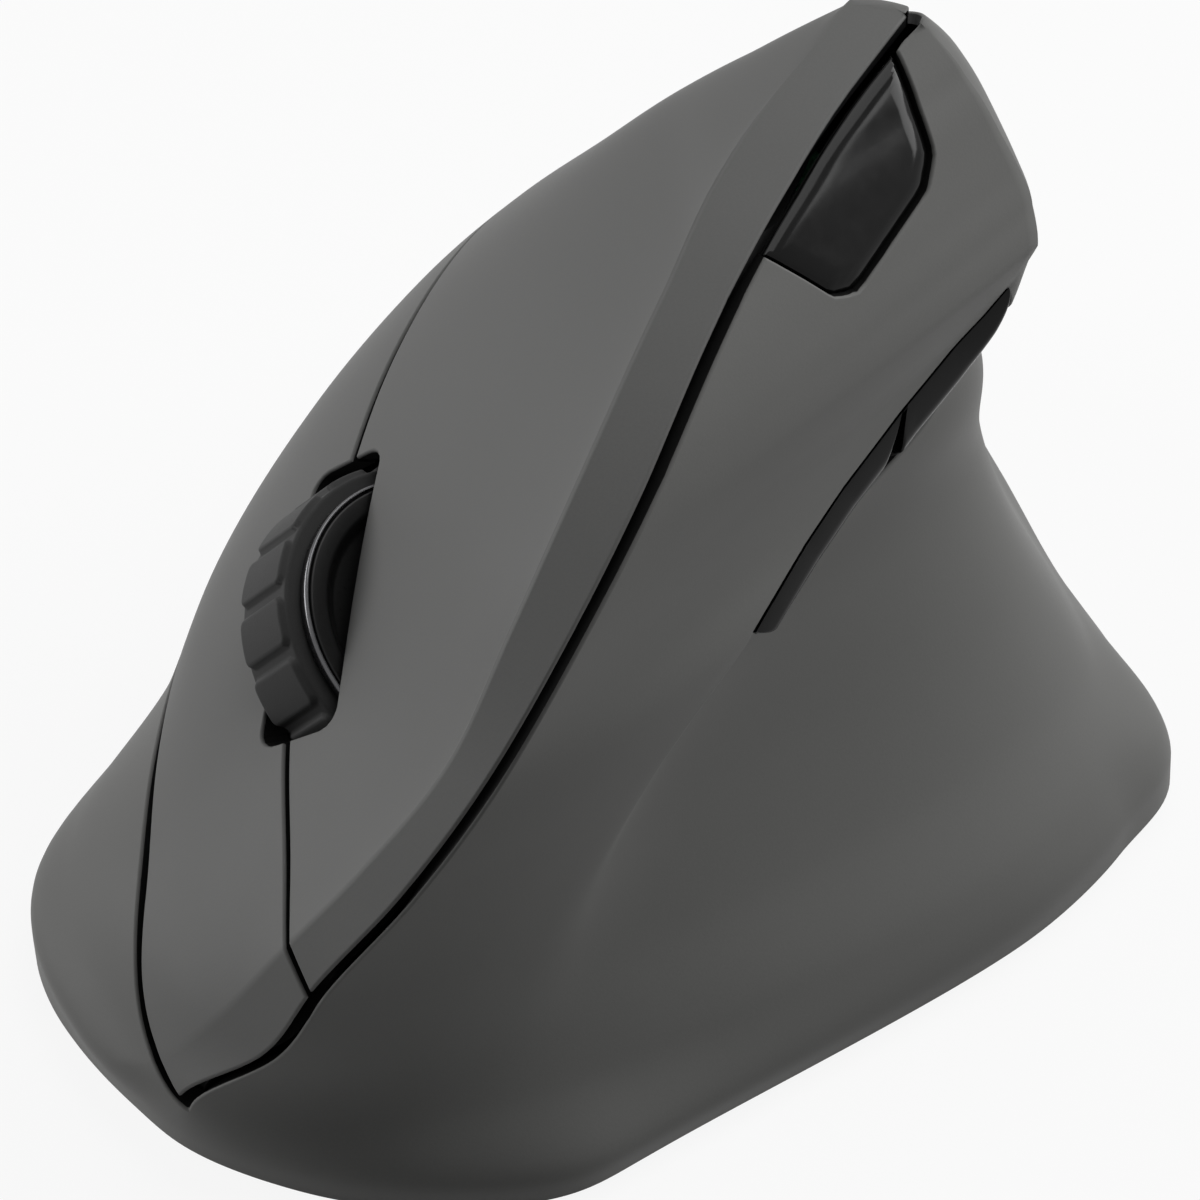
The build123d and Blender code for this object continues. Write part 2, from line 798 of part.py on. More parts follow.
# Thumb buttons: a slim lens under the spine's edge, cut across by a slanted gap
thumb_top_shares = ((-0.151, -0.008), (0.161, -0.007))
thumb_low_shares = (
    (0.163, -0.018), (0.118, -0.039), (0.034, -0.045), (-0.050, -0.037),
    (-0.118, -0.025), (-0.153, -0.015),
)
thumb_gap = 0.6
thumb_slant_share = 0.008
thumb_proud = 1.4
thumb_flange = 1.0
flange_wall = 0.8
forward_stem = (-9.0, -2.4)
back_stem = (10.0, -3.0)
thumb_stem_radius = 1.2
thumb_switch_top = -12.0
thumb_post_places = ((-15.0, -9.5), (13.0, -9.5))
thumb_board_length = 32.0
thumb_board_width = 12.0
thumb_board_shift = -5.8
flange_drop = thumb_plane.z_dir * -flange_wall
proud_skin = skin(-thumb_proud, loft_shares[:-shell_top])
thumb_core = inner_skin.translate(flange_drop)


def thumb_lens(grow, low, high):
    """The outline of both thumb buttons, grown all round, as a block."""
    last = len(thumb_low_shares) - 1
    (left_share, left_high), (right_share, right_high) = thumb_top_shares
    top = [
        (left_share * length - grow, left_high * length + grow),
        (right_share * length + grow, right_high * length + grow),
    ]
    bottom = [
        (x * length + grow * (1 - 2 * index / last), y * length - grow)
        for index, (x, y) in enumerate(thumb_low_shares)
    ]
    with BuildPart() as block:
        with BuildSketch(thumb_plane.offset(low)):
            with BuildLine():
                Polyline(bottom[-1], top[0], top[1], bottom[0])
                Spline(*bottom)
            make_face()
        extrude(amount=high - low)
    return block.part


def thumb_part(side):
    """The forward or the back side of the slanted gap between the thumb buttons."""
    near = side * thumb_gap / 2
    slant = thumb_slant_share * length
    far = side * length
    with BuildPart() as block:
        with BuildSketch(thumb_plane.offset(-length / 2)):
            with BuildLine():
                Polyline(
                    (near - 2 * slant, wheel_radius), (near + 2 * slant, -wheel_radius),
                    (far, -wheel_radius), (far, wheel_radius), (near - 2 * slant, wheel_radius),
                )
            make_face()
        extrude(amount=length)
    return block.part


with BuildPart() as thumb_flanges:
    add(thumb_lens(thumb_flange, -wheel_radius, wheel_radius))
    add(inner_skin, mode=Mode.INTERSECT)

with BuildPart() as thumb_pair:
    add(thumb_lens(0, -wheel_radius, wheel_radius))
    add(proud_skin, mode=Mode.INTERSECT)
    add(thumb_flanges.part)
    add(thumb_core, mode=Mode.SUBTRACT)


def thumb_button(side, stem_place):
    """One thumb button, with a flange behind the wall and a stem over its switch."""
    x, y = stem_place
    low = thumb_switch_top + stem_reach
    with BuildPart() as half:
        add(thumb_pair.part)
        add(thumb_part(side), mode=Mode.INTERSECT)
    with BuildPart() as button:
        add(half.part)
        add(inside(peg(thumb_plane, x, y, thumb_stem_radius, low, wheel_radius), stem_skin))
    return button.part


with BuildPart() as forward_button:
    add(thumb_button(-1, forward_stem))
forward_button.part.label = "forward_button"
export_step(forward_button.part, "parts/forward_button.step")

with BuildPart() as back_button:
    add(thumb_button(1, back_stem))
back_button.part.label = "back_button"
export_step(back_button.part, "parts/back_button.step")

# Board behind the thumb buttons
thumb_board_top = thumb_switch_top - tact_height
thumb_board_low = thumb_board_top - board_thickness
with BuildPart() as thumb_board:
    add(
        slab(
            thumb_plane, -1, thumb_board_shift, thumb_board_length, thumb_board_width,
            thumb_board_low, thumb_board_top,
        )
    )
    for x, y in thumb_post_places:
        add(
            peg(thumb_plane, x, y, screw_radius, thumb_board_low, thumb_board_top),
            mode=Mode.SUBTRACT,
        )
thumb_board.part.label = "thumb_board"
export_step(thumb_board.part, "parts/thumb_board.step")

# Resolution button at the top of the spine plate, open to the groove
resolution_shares = (
    (-0.089, 0.032), (0.088, 0.032), (0.055, -0.028), (0.034, -0.038), (-0.055, -0.036),
    (-0.071, -0.024),
)
resolution_corner = 0.8
resolution_sink = 0.2
resolution_gap = 0.35
resolution_stem = (-2.0, 0.0)
resolution_stem_radius = 1.4
resolution_switch_top = -8.5
resolution_post_places = ((-9.0, -8.0), (5.0, -8.0))
resolution_board_length = 18.0
resolution_board_width = 11.5
resolution_board_shift = -4.5
resolution_core = inner_skin.translate(spine_plane.z_dir * -flange_wall)


def resolution_block(grow, low, high):
    """The resolution button's outline, grown all round, as a block."""
    points = [(x * length, y * length) for x, y in resolution_shares]
    with BuildPart() as block:
        with BuildSketch(spine_plane.offset(low)) as face:
            with BuildLine():
                Polyline(*points, points[0])
            make_face()
            fillet(face.vertices(), radius=resolution_corner)
            if grow:
                offset(amount=grow)
        extrude(amount=high - low)
    return block.part


with BuildPart() as resolution_flange:
    add(resolution_block(thumb_flange, -wheel_radius, wheel_radius))
    add(inner_skin, mode=Mode.INTERSECT)

with BuildPart() as resolution_button:
    add(resolution_block(0, -wheel_radius, wheel_radius))
    add(outer_skin.translate(spine_plane.z_dir * -resolution_sink), mode=Mode.INTERSECT)
    add(resolution_flange.part)
    add(resolution_core, mode=Mode.SUBTRACT)
    stem_x, stem_y = resolution_stem
    stem_low = resolution_switch_top + stem_reach
    stem_block = peg(spine_plane, stem_x, stem_y, resolution_stem_radius, stem_low, wheel_radius)
    add(inside(stem_block, stem_skin))
    add(shell_window, mode=Mode.SUBTRACT)
resolution_button.part.label = "resolution_button"
export_step(resolution_button.part, "parts/resolution_button.step")

# Board behind the resolution button
resolution_board_top = resolution_switch_top - tact_height
resolution_board_low = resolution_board_top - board_thickness
with BuildPart() as resolution_board:
    add(
        slab(
            spine_plane, stem_x, resolution_board_shift, resolution_board_length,
            resolution_board_width, resolution_board_low, resolution_board_top,
        )
    )
    for x, y in resolution_post_places:
        add(
            peg(spine_plane, x, y, screw_radius, resolution_board_low, resolution_board_top),
            mode=Mode.SUBTRACT,
        )
resolution_board.part.label = "resolution_board"
export_step(resolution_board.part, "parts/resolution_board.step")

# Small switches of the thumb buttons and the resolution button
with BuildPart() as small_switches:
    for plane, place_at, top in (
        (thumb_plane, forward_stem, thumb_switch_top),
        (thumb_plane, back_stem, thumb_switch_top),
        (spine_plane, resolution_stem, resolution_switch_top),
    ):
        add(
            push_switch(
                plane, place_at[0], place_at[1], tact_length, tact_width, tact_height,
                tact_plunger, top,
            )
        )
small_switches.part.label = "small_switches"
export_step(small_switches.part, "parts/small_switches.step")

# Base plate and what it holds, with heights over the table
base_top = 3.0
base_skirt = clearance
ledge_z = 2.0
foot_height = 1.0
foot_recess = 0.2
tall_post_shares = ((0.317, 0.0), (0.043, 0.391))
front_post_shares = (-0.085, -0.424)
side_post_shares = (-0.354, -0.168)
low_post_top = 12.0
tall_post_top = 40.0
post_rib = 2.0
post_rib_length = 9.0
post_radius = 3.0
base_screw_radius = 0.9
base_screw_head = 2.0
base_screw_sink = 0.2
base_screw_top = 10.0
sensor_x = 4.0
sensor_y = -26.0
window_x = 8.8
window_y = 11.8
bay_x = -4.0
bay_y = 10.05
bay_width = 23.0
bay_length = 47.1
bay_wall = 1.2
bay_roof = 13.7
vent_width = 10.0
vent_length = 30.0
door_width = 27.0
door_length = 51.3
door_wall = ledge_z - body_foot
slider_x = 17.0
slider_y = -8.0
slider_stem_width = 3.0
slider_stem_length = 3.6
slider_throw = 1.2
slider_slot_length = slider_stem_length + 2 * (slider_throw + clearance)
receiver_x = 16.0
receiver_y = 9.0
receiver_head_width = 6.0
receiver_head_length = 14.4
receiver_plug_width = 4.5
receiver_plug_length = 12.0
receiver_low = 1.2
receiver_step = 7.4
receiver_top = 18.4
pocket_play = 0.2
pocket_wall = 1.2
pocket_top = 13.0
board_low = 5.0
board_x = -5.0
board_y = -28.5
board_length = 40.0
board_width = 22.0
board_stand_x = 18.0
board_stand_y = 9.0
foot_places = (
    (-0.122, -0.319, 24.0, 6.0), (-0.098, 0.353, 16.0, 6.0),
    (0.305, -0.109, 5.0, 12.0), (-0.329, -0.034, 5.0, 14.0),
)


def post_places():
    """The four base posts in plan."""
    shares = tall_post_shares + (front_post_shares, side_post_shares)
    return [(x_share * width, y_share * length) for x_share, y_share in shares]


with BuildPart() as base_plate:
    ring = outline(0, wall + base_skirt)
    with BuildSketch(Plane.XY.offset(body_foot)):
        with BuildLine():
            Spline(*ring[:3])
            add(Edge.make_spline(ring[2:], parameters=edge_run_shares))
            Line(ring[-1], ring[0])
        make_face()
    extrude(amount=base_top - body_foot)
    pocket_x = receiver_head_width + 2 * (pocket_play + pocket_wall)
    pocket_y = receiver_head_length + 2 * (pocket_play + pocket_wall)
    add(slab(Plane.XY, receiver_x, receiver_y, pocket_x, pocket_y, body_foot, pocket_top))
    for x_side in (-1, 1):
        for y_side in (-1, 1):
            x = board_x + x_side * board_stand_x
            y = board_y + y_side * board_stand_y
            add(peg(Plane.XY, x, y, stand_radius, body_foot, board_low))
    cuts = (
        slab(Plane.XY, sensor_x, sensor_y, window_x, window_y, 0, base_top),
        slab(Plane.XY, bay_x, bay_y, bay_width, bay_length, 0, base_top),
        slab(
            Plane.XY, bay_x, bay_y, door_width + 2 * clearance, door_length + 2 * clearance,
            0, ledge_z,
        ),
        slab(
            Plane.XY, slider_x, slider_y, slider_stem_width + 2 * clearance / 2,
            slider_slot_length, 0, base_top,
        ),
        slab(
            Plane.XY, receiver_x, receiver_y, receiver_head_width + 2 * pocket_play,
            receiver_head_length + 2 * pocket_play, 0, receiver_step,
        ),
        slab(
            Plane.XY, receiver_x, receiver_y, receiver_plug_width + 2 * pocket_play,
            receiver_plug_length + 2 * pocket_play, 0, pocket_top,
        ),
    )
    for cut in cuts:
        add(cut, mode=Mode.SUBTRACT)
    for x, y in post_places():
        head = base_screw_head + clearance
        add(peg(Plane.XY, x, y, head, 0, ledge_z), mode=Mode.SUBTRACT)
        add(peg(Plane.XY, x, y, base_screw_radius, 0, base_top), mode=Mode.SUBTRACT)
    for x_share, y_share, along, across in foot_places:
        add(
            pad(
                Plane.XY, x_share * width, y_share * length, along, across,
                0, body_foot + foot_recess,
            ),
            mode=Mode.SUBTRACT,
        )
base_plate.part.label = "base_plate"
export_step(base_plate.part, "parts/base_plate.step")

# Glide feet, set into shallow recesses
with BuildPart() as glide_feet:
    for x_share, y_share, along, across in foot_places:
        add(pad(Plane.XY, x_share * width, y_share * length, along, across, 0, foot_height))
glide_feet.part.label = "glide_feet"
export_step(glide_feet.part, "parts/glide_feet.step")

# Base screws
with BuildPart() as base_screws:
    for x, y in post_places():
        head_low = body_foot + base_screw_sink
        add(peg(Plane.XY, x, y, base_screw_head, head_low, ledge_z))
        add(peg(Plane.XY, x, y, base_screw_radius, ledge_z, base_screw_top))
base_screws.part.label = "base_screws"
export_step(base_screws.part, "parts/base_screws.step")

# Battery door, with a round front edge that it turns on and ridges for the thumb
grip_count = 4
grip_width = 12.0
grip_depth = 0.4
grip_pitch = 2.0
grip_end = 4.0
with BuildPart() as battery_door:
    door_front = bay_y - door_length / 2
    door_rear = bay_y + door_length / 2
    edge_radius = door_wall / 2
    pivot_y = door_front + edge_radius
    middle_y = (pivot_y + door_rear) / 2
    add(slab(Plane.XY, bay_x, middle_y, door_width, door_rear - pivot_y, body_foot, ledge_z))
    with BuildSketch(Plane.YZ.offset(bay_x - door_width / 2)):
        with Locations((pivot_y, body_foot + edge_radius)):
            Circle(edge_radius)
    extrude(amount=door_width)
    for index in range(grip_count):
        grip_y = door_rear - grip_end - index * grip_pitch
        add(
            pad(
                Plane.XY, bay_x, grip_y, grip_width, grip_pitch / 2, 0, body_foot + grip_depth
            ),
            mode=Mode.SUBTRACT,
        )
battery_door.part.label = "battery_door"
export_step(battery_door.part, "parts/battery_door.step")

# Battery holder over the bay
with BuildPart() as battery_holder:
    holder_x = bay_width + 2 * bay_wall
    holder_y = bay_length + 2 * bay_wall
    add(slab(Plane.XY, bay_x, bay_y, holder_x, holder_y, base_top, bay_roof + bay_wall))
    add(
        slab(Plane.XY, bay_x, bay_y, bay_width, bay_length, base_top, bay_roof),
        mode=Mode.SUBTRACT,
    )
    add(
        pad(Plane.XY, bay_x, bay_y, vent_width, vent_length, bay_roof, bay_roof + bay_wall),
        mode=Mode.SUBTRACT,
    )
battery_holder.part.label = "battery_holder"
export_step(battery_holder.part, "parts/battery_holder.step")

# Two cells, which point opposite ways
cell_radius = 5.2
cell_body = 43.7
cell_nub = 0.8
cell_nub_radius = 1.9
cell_pitch = 11.2
cell_z = 8.3
contact_wall = 0.3
contact_size = 8.0
contact_low = 4.3
contact_wide = 19.2
spring_length = bay_length - 2 * contact_wall - cell_body - cell_nub
spring_wire = 0.3
spring_radius = 3.2
spring_pitch = 0.7
spring_cone = 40

with BuildPart() as battery_cells:
    for side in (-1, 1):
        cell_x = bay_x + side * cell_pitch / 2
        near = bay_y + side * (bay_length / 2 - contact_wall)
        with BuildSketch(Plane.XZ.offset(-near + side * spring_length)):
            with Locations((cell_x, cell_z)):
                Circle(cell_radius)
        extrude(amount=side * cell_body)
        with BuildSketch(Plane.XZ.offset(-near + side * (spring_length + cell_body))):
            with Locations((cell_x, cell_z)):
                Circle(cell_nub_radius)
        extrude(amount=side * cell_nub)
battery_cells.part.label = "battery_cells"
export_step(battery_cells.part, "parts/battery_cells.step")

# Battery contacts: two at the front and one across the rear
with BuildPart() as battery_contacts:
    front_y = bay_y - (bay_length - contact_wall) / 2
    rear_y = bay_y + (bay_length - contact_wall) / 2
    contact_high = contact_low + contact_size
    for side in (-1, 1):
        contact_x = bay_x + side * cell_pitch / 2
        add(
            slab(
                Plane.XY, contact_x, front_y, contact_size, contact_wall, contact_low,
                contact_high,
            )
        )
    add(
        slab(Plane.XY, bay_x, rear_y, contact_wide, contact_wall, contact_low, contact_high)
    )
battery_contacts.part.label = "battery_contacts"
export_step(battery_contacts.part, "parts/battery_contacts.step")

# Cone springs between the contacts and the flat ends of the cells
with BuildPart() as battery_springs:
    for side in (-1, 1):
        contact_x = bay_x + side * cell_pitch / 2
        contact_y = bay_y + side * (bay_length / 2 - contact_wall)
        seat = Plane(origin=(contact_x, contact_y, cell_z), z_dir=(0, -side, 0))
        add(coil(seat, spring_radius, spring_wire, spring_pitch, spring_length, spring_cone))
battery_springs.part.label = "battery_springs"
export_step(battery_springs.part, "parts/battery_springs.step")

# Main board on its stands, with the sensor, its lens and its light
sensor_hole = 2.6
sensor_barrel = 2.4
lens_top = 4.2
lens_x = 13.0
lens_y = 16.0
lens_low = 1.6
lens_eye = 2.5
sensor_case_x = 12.0
sensor_case_y = 9.0
sensor_case_height = 1.8
light_offset = 9.5
light_radius = 1.5
light_low = 3.6
light_height = 1.2
board_high = board_low + board_thickness
chip_size = 7.0
chip_height = 1.0
chip_offset = 9.0
with BuildPart() as main_board:
    add(slab(Plane.XY, board_x, board_y, board_length, board_width, board_low, board_high))
    add(peg(Plane.XY, sensor_x, sensor_y, sensor_hole, 0, board_high), mode=Mode.SUBTRACT)
    light_hole = light_radius + clearance / 3
    light_x = sensor_x - light_offset
    add(peg(Plane.XY, light_x, sensor_y, light_hole, 0, board_high), mode=Mode.SUBTRACT)
main_board.part.label = "main_board"
export_step(main_board.part, "parts/main_board.step")

with BuildPart() as main_chip:
    chip_x = board_x - chip_offset
    add(
        slab(
            Plane.XY, chip_x, board_y, chip_size, chip_size, board_high,
            board_high + chip_height,
        )
    )
main_chip.part.label = "main_chip"
export_step(main_chip.part, "parts/main_chip.step")

with BuildPart() as sensor:
    case_top = board_high + sensor_case_height
    add(slab(Plane.XY, sensor_x, sensor_y, sensor_case_x, sensor_case_y, board_high, case_top))
    add(peg(Plane.XY, sensor_x, sensor_y, sensor_barrel, lens_top, board_high))
sensor.part.label = "sensor"
export_step(sensor.part, "parts/sensor.step")

with BuildPart() as sensor_lens:
    add(slab(Plane.XY, sensor_x, sensor_y, lens_x, lens_y, base_top, lens_top))
    plug_x = window_x - clearance
    plug_y = window_y - clearance
    add(slab(Plane.XY, sensor_x, sensor_y, plug_x, plug_y, lens_low, base_top))
    add(peg(Plane.XY, sensor_x, sensor_y, lens_eye, lens_low, base_top), mode=Mode.SUBTRACT)
sensor_lens.part.label = "sensor_lens"
export_step(sensor_lens.part, "parts/sensor_lens.step")

with BuildPart() as sensor_light:
    add(peg(Plane.XY, light_x, sensor_y, light_radius, light_low, board_high))
    light_head = 2 * (light_radius + clearance)
    light_top = board_high + light_height
    add(slab(Plane.XY, light_x, sensor_y, light_head, light_head, board_high, light_top))
sensor_light.part.label = "sensor_light"
export_step(sensor_light.part, "parts/sensor_light.step")

# Power switch: a slider in a slot of the base, and the case over it
slider_flange_width = 5.0
slider_flange_length = 7.6
slider_flange = 1.0
slider_low = 1.2
case_width = 8.4
case_length = 13.0
case_height = 6.4
case_room_width = 5.4
case_room_length = 10.4
with BuildPart() as power_slider:
    add(
        slab(
            Plane.XY, slider_x, slider_y, slider_flange_width, slider_flange_length,
            base_top, base_top + slider_flange,
        )
    )
    add(
        slab(
            Plane.XY, slider_x, slider_y, slider_stem_width, slider_stem_length, slider_low,
            base_top,
        )
    )
power_slider.part.label = "power_slider"
export_step(power_slider.part, "parts/power_slider.step")

with BuildPart() as power_case:
    add(slab(Plane.XY, slider_x, slider_y, case_width, case_length, base_top, case_height))
    room_top = base_top + slider_flange + slip
    add(
        slab(
            Plane.XY, slider_x, slider_y, case_room_width, case_room_length, base_top, room_top
        ),
        mode=Mode.SUBTRACT,
    )
power_case.part.label = "power_case"
export_step(power_case.part, "parts/power_case.step")

# Radio receiver in its pocket
with BuildPart() as receiver:
    add(
        slab(
            Plane.XY, receiver_x, receiver_y, receiver_head_width, receiver_head_length,
            receiver_low, receiver_step,
        )
    )
    add(
        slab(
            Plane.XY, receiver_x, receiver_y, receiver_plug_width, receiver_plug_length,
            receiver_step, receiver_top,
        )
    )
receiver.part.label = "receiver"
export_step(receiver.part, "parts/receiver.step")

# Screws of the small boards
with BuildPart() as board_screws:
    for v in (front_post_v, rear_post_v):
        add(board_screw(finger_plane, wheel_post_u, v, finger_board_low))
    for u, side in ((left_guide_screw_u, -1), (right_guide_screw_u, 1)):
        add(board_screw(finger_plane, u, wheel_side + side * guide_offset, wheel_board_low))
    for x, y in thumb_post_places:
        add(board_screw(thumb_plane, x, y, thumb_board_low))
    for x, y in resolution_post_places:
        add(board_screw(spine_plane, x, y, resolution_board_low))
board_screws.part.label = "board_screws"
export_step(board_screws.part, "parts/board_screws.step")

# Posts inside the main shell
with BuildPart() as shell_posts:
    for x_share, y_share in tall_post_shares:
        add(
            peg(Plane.XY, x_share * width, y_share * length, post_radius, base_top, tall_post_top)
        )
    front_x, front_y = post_places()[-2]
    side_x, side_y = post_places()[-1]
    add(peg(Plane.XY, front_x, front_y, post_radius, base_top, low_post_top))
    add(peg(Plane.XY, side_x, side_y, post_radius, base_top, low_post_top))
    add(
        slab(
            Plane.XY, front_x, front_y - post_rib_length / 2, post_rib, post_rib_length,
            base_top, low_post_top,
        )
    )
    add(
        slab(
            Plane.XY, side_x - post_rib_length / 2, side_y, post_rib_length, post_rib,
            base_top, low_post_top,
        )
    )
    for x, y in thumb_post_places:
        add(peg(thumb_plane, x, y, stand_radius, thumb_board_top, wheel_radius))
    for x, y in resolution_post_places:
        add(peg(spine_plane, x, y, stand_radius, resolution_board_top, wheel_radius))
    add(post_skin, mode=Mode.INTERSECT)

# Main shell: the spine plate, the thumb scoop and the flanged rim
with BuildPart() as main_shell:
    add(outer_skin)
    add(inner_skin, mode=Mode.SUBTRACT)
    add(shell_window, mode=Mode.SUBTRACT)
    add(shell_posts.part)
    add(thumb_lens(clearance, -wheel_radius, wheel_radius), mode=Mode.SUBTRACT)
    add(resolution_block(resolution_gap, -wheel_radius, wheel_radius), mode=Mode.SUBTRACT)
    for x, y in post_places():
        add(
            peg(Plane.XY, x, y, base_screw_radius, base_top, base_screw_top + clearance),
            mode=Mode.SUBTRACT,
        )
    for x, y in thumb_post_places:
        hole_top = thumb_board_top + screw_length
        add(
            peg(thumb_plane, x, y, screw_radius, thumb_board_top, hole_top),
            mode=Mode.SUBTRACT,
        )
    for x, y in resolution_post_places:
        hole_top = resolution_board_top + screw_length
        add(
            peg(spine_plane, x, y, screw_radius, resolution_board_top, hole_top),
            mode=Mode.SUBTRACT,
        )
main_shell.part.label = "main_shell"
export_step(main_shell.part, "parts/main_shell.step")
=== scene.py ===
import math

import bpy
import numpy as np
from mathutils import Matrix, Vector


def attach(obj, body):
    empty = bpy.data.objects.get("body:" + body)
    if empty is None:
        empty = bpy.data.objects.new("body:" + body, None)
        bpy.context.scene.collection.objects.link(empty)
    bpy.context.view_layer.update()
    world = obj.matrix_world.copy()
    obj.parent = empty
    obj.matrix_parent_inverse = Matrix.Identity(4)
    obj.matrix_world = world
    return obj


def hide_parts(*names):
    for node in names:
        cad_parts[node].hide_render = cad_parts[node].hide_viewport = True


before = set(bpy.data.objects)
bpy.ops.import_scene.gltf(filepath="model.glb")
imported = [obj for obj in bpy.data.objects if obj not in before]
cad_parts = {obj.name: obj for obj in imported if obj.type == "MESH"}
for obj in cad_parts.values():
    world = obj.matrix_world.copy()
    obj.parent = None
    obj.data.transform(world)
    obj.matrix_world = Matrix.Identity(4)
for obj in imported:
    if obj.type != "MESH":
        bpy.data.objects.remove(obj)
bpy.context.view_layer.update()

# Sizes are in millimetres until a mesh is made
mm = 0.001
width = 82.0
length = 119.0
body_height = 71.6
body_foot = 0.8
wall = 2.4
cover_wall = 2.0
groove_width = 1.5
seam_gap = 0.7
split_gap = 0.4
cross_gap = 0.5
clearance = 0.3

# The body's level outlines, as shares of its height, width and length
level_shares = np.array(
    (0.0, 0.042, 0.105, 0.196, 0.307, 0.433, 0.559, 0.684, 0.796, 0.887, 0.957, 1.0)
)
spine_bow_shares = (0.03, 0.03, 0.025, 0.02, 0.015, 0.012, 0.01, 0.008, 0.006, 0.004, 0.002, 0.001)
groove_shares = (
    (-0.229, -0.482), (-0.223, -0.490), (-0.206, -0.498), (-0.122, -0.500),
    (-0.069, -0.495), (0.005, -0.477), (0.067, -0.446), (0.114, -0.395),
    (0.146, -0.310), (0.159, -0.197), (0.174, -0.069), (0.202, 0.058),
)
scoop_edge_shares = (
    (0.148, -0.436), (0.155, -0.435), (0.113, -0.406), (0.097, -0.378),
    (0.115, -0.360), (0.158, -0.322), (0.218, -0.251), (0.309, -0.005),
    (0.344, 0.052), (0.313, 0.057), (0.272, 0.057), (0.223, 0.055),
)
scoop_shares = (
    (0.362, -0.198), (0.372, -0.198), (0.348, -0.198), (0.274, -0.186),
    (0.223, -0.169), (0.210, -0.139), (0.248, -0.078), (0.318, 0.062),
    (0.300, 0.092), (0.277, 0.088), (0.254, 0.074), (0.224, 0.061),
)
heel_shares = (
    (0.485, 0.058), (0.485, 0.058), (0.463, 0.059), (0.407, 0.066),
    (0.344, 0.070), (0.290, 0.075), (0.286, 0.075), (0.232, 0.140),
    (0.232, 0.134), (0.238, 0.112), (0.234, 0.088), (0.217, 0.066),
)
palm_shares = (
    (0.245, 0.302), (0.238, 0.304), (0.210, 0.295), (0.177, 0.274),
    (0.147, 0.255), (0.130, 0.236), (0.135, 0.215), (0.140, 0.215),
    (0.165, 0.178), (0.190, 0.136), (0.203, 0.096), (0.203, 0.069),
)
tail_shares = (
    (-0.037, 0.495), (-0.035, 0.498), (-0.034, 0.495), (-0.031, 0.481),
    (-0.025, 0.454), (-0.014, 0.410), (0.009, 0.352), (0.047, 0.281),
    (0.089, 0.206), (0.134, 0.145), (0.160, 0.093), (0.185, 0.070),
)
hip_shares = (
    (-0.267, 0.360), (-0.266, 0.364), (-0.260, 0.355), (-0.246, 0.329),
    (-0.222, 0.297), (-0.188, 0.254), (-0.147, 0.205), (-0.085, 0.148),
    (-0.013, 0.101), (0.050, 0.072), (0.108, 0.062), (0.168, 0.069),
)
side_shares = (
    (-0.430, -0.093), (-0.444, -0.093), (-0.431, -0.093), (-0.410, -0.093),
    (-0.393, -0.091), (-0.338, -0.065), (-0.261, -0.046), (-0.172, -0.036),
    (-0.083, -0.021), (0.000, 0.004), (0.078, 0.025), (0.157, 0.067),
)
finger_shares = (
    (-0.475, -0.320), (-0.482, -0.315), (-0.437, -0.322), (-0.347, -0.347),
    (-0.264, -0.342), (-0.166, -0.321), (-0.082, -0.299), (-0.016, -0.262),
    (0.034, -0.196), (0.073, -0.120), (0.098, -0.033), (0.150, 0.063),
)
crease_shares = (
    (-0.315, -0.446), (-0.321, -0.455), (-0.254, -0.473), (-0.189, -0.476),
    (-0.126, -0.473), (-0.049, -0.456), (0.018, -0.427), (0.051, -0.378),
    (0.075, -0.295), (0.091, -0.184), (0.107, -0.060), (0.154, 0.058),
)
edge_run_shares = (0.0, 0.119, 0.238, 0.358, 0.477, 0.596, 0.748, 0.889, 1.0)
groove_pull_share = 0.4

# Trims in millimetres: of the spine plate's edge and of the groove in X, over shares of the height
edge_trim_shares = (
    0.54, 0.56, 0.58, 0.60, 0.62, 0.65, 0.68, 0.70, 0.73, 0.765, 0.80, 0.84, 0.95, 1.0,
)
edge_trims = (
    0.0, -0.1, -0.55, -1.1, -1.4, -1.3, -0.8, -0.2, 0.35, 0.75, -0.35, -0.85, -0.9, -0.1,
)
groove_trim_shares = (0.9, 0.925, 0.95, 0.975, 1.0)
groove_trims = (0.0, 0.25, 0.5, 0.6, 1.15)

# The heel's corner is drawn out and its flank in: middle column, half width in columns, and height
heel_low = (0.08, 0.17)
heel_high = (0.31, 0.48)
heel_corner = ((129, 14, 1.7), (110, 15, -0.3), (154, 19, -0.9))
heel_flank = ((142, 30, -1.1),)
heel_way = (0.94, 0.342, 0.0)

# The top is raised a little, and the walls get thinner there
crown = 0.7
crown_share = 0.94
thin_top_share = 0.84
thin_top_least = 0.12
thin_top_drop = 1.2
parting_rear_share = 0.6
parting_rear_shares = (
    -0.015, -0.015, -0.017, -0.020, -0.018, -0.018, -0.009, 0.015, 0.045, 0.100, 0.116, 0.170,
)
seam_shares = (
    (-0.520, 0.060), (-0.484, 0.093), (-0.452, 0.119), (-0.413, 0.162), (-0.380, 0.187),
    (-0.340, 0.205), (-0.295, 0.219), (-0.239, 0.234), (0.000, 0.252), (0.520, 0.290),
)
split_shares = (
    (-0.420, -0.060), (-0.252, -0.013), (-0.193, -0.002), (-0.102, 0.018), (0.092, 0.005),
    (0.158, -0.002), (0.212, -0.014), (0.277, -0.028), (0.600, -0.110),
)
cross_seam_share = 0.080

# The grid over the body: columns over the spine plate, round the body and over the bevel
plate_columns = 40
round_columns = 360
bevel_columns = 14
body_rows = 141
cap_shares = (0.7, 0.4, 0.15)
cap_crown = 0.15
edge_shares = (0.0, 0.1, 0.3, 0.6, 1.0)
soft_columns = 9
soft_corners = ((0, 0.02, 0.14), (-bevel_columns, 0.02, 0.14), (plate_columns, 0.3, 0.66))
snap = 0.008
probe = 0.01
least_slope = 0.2


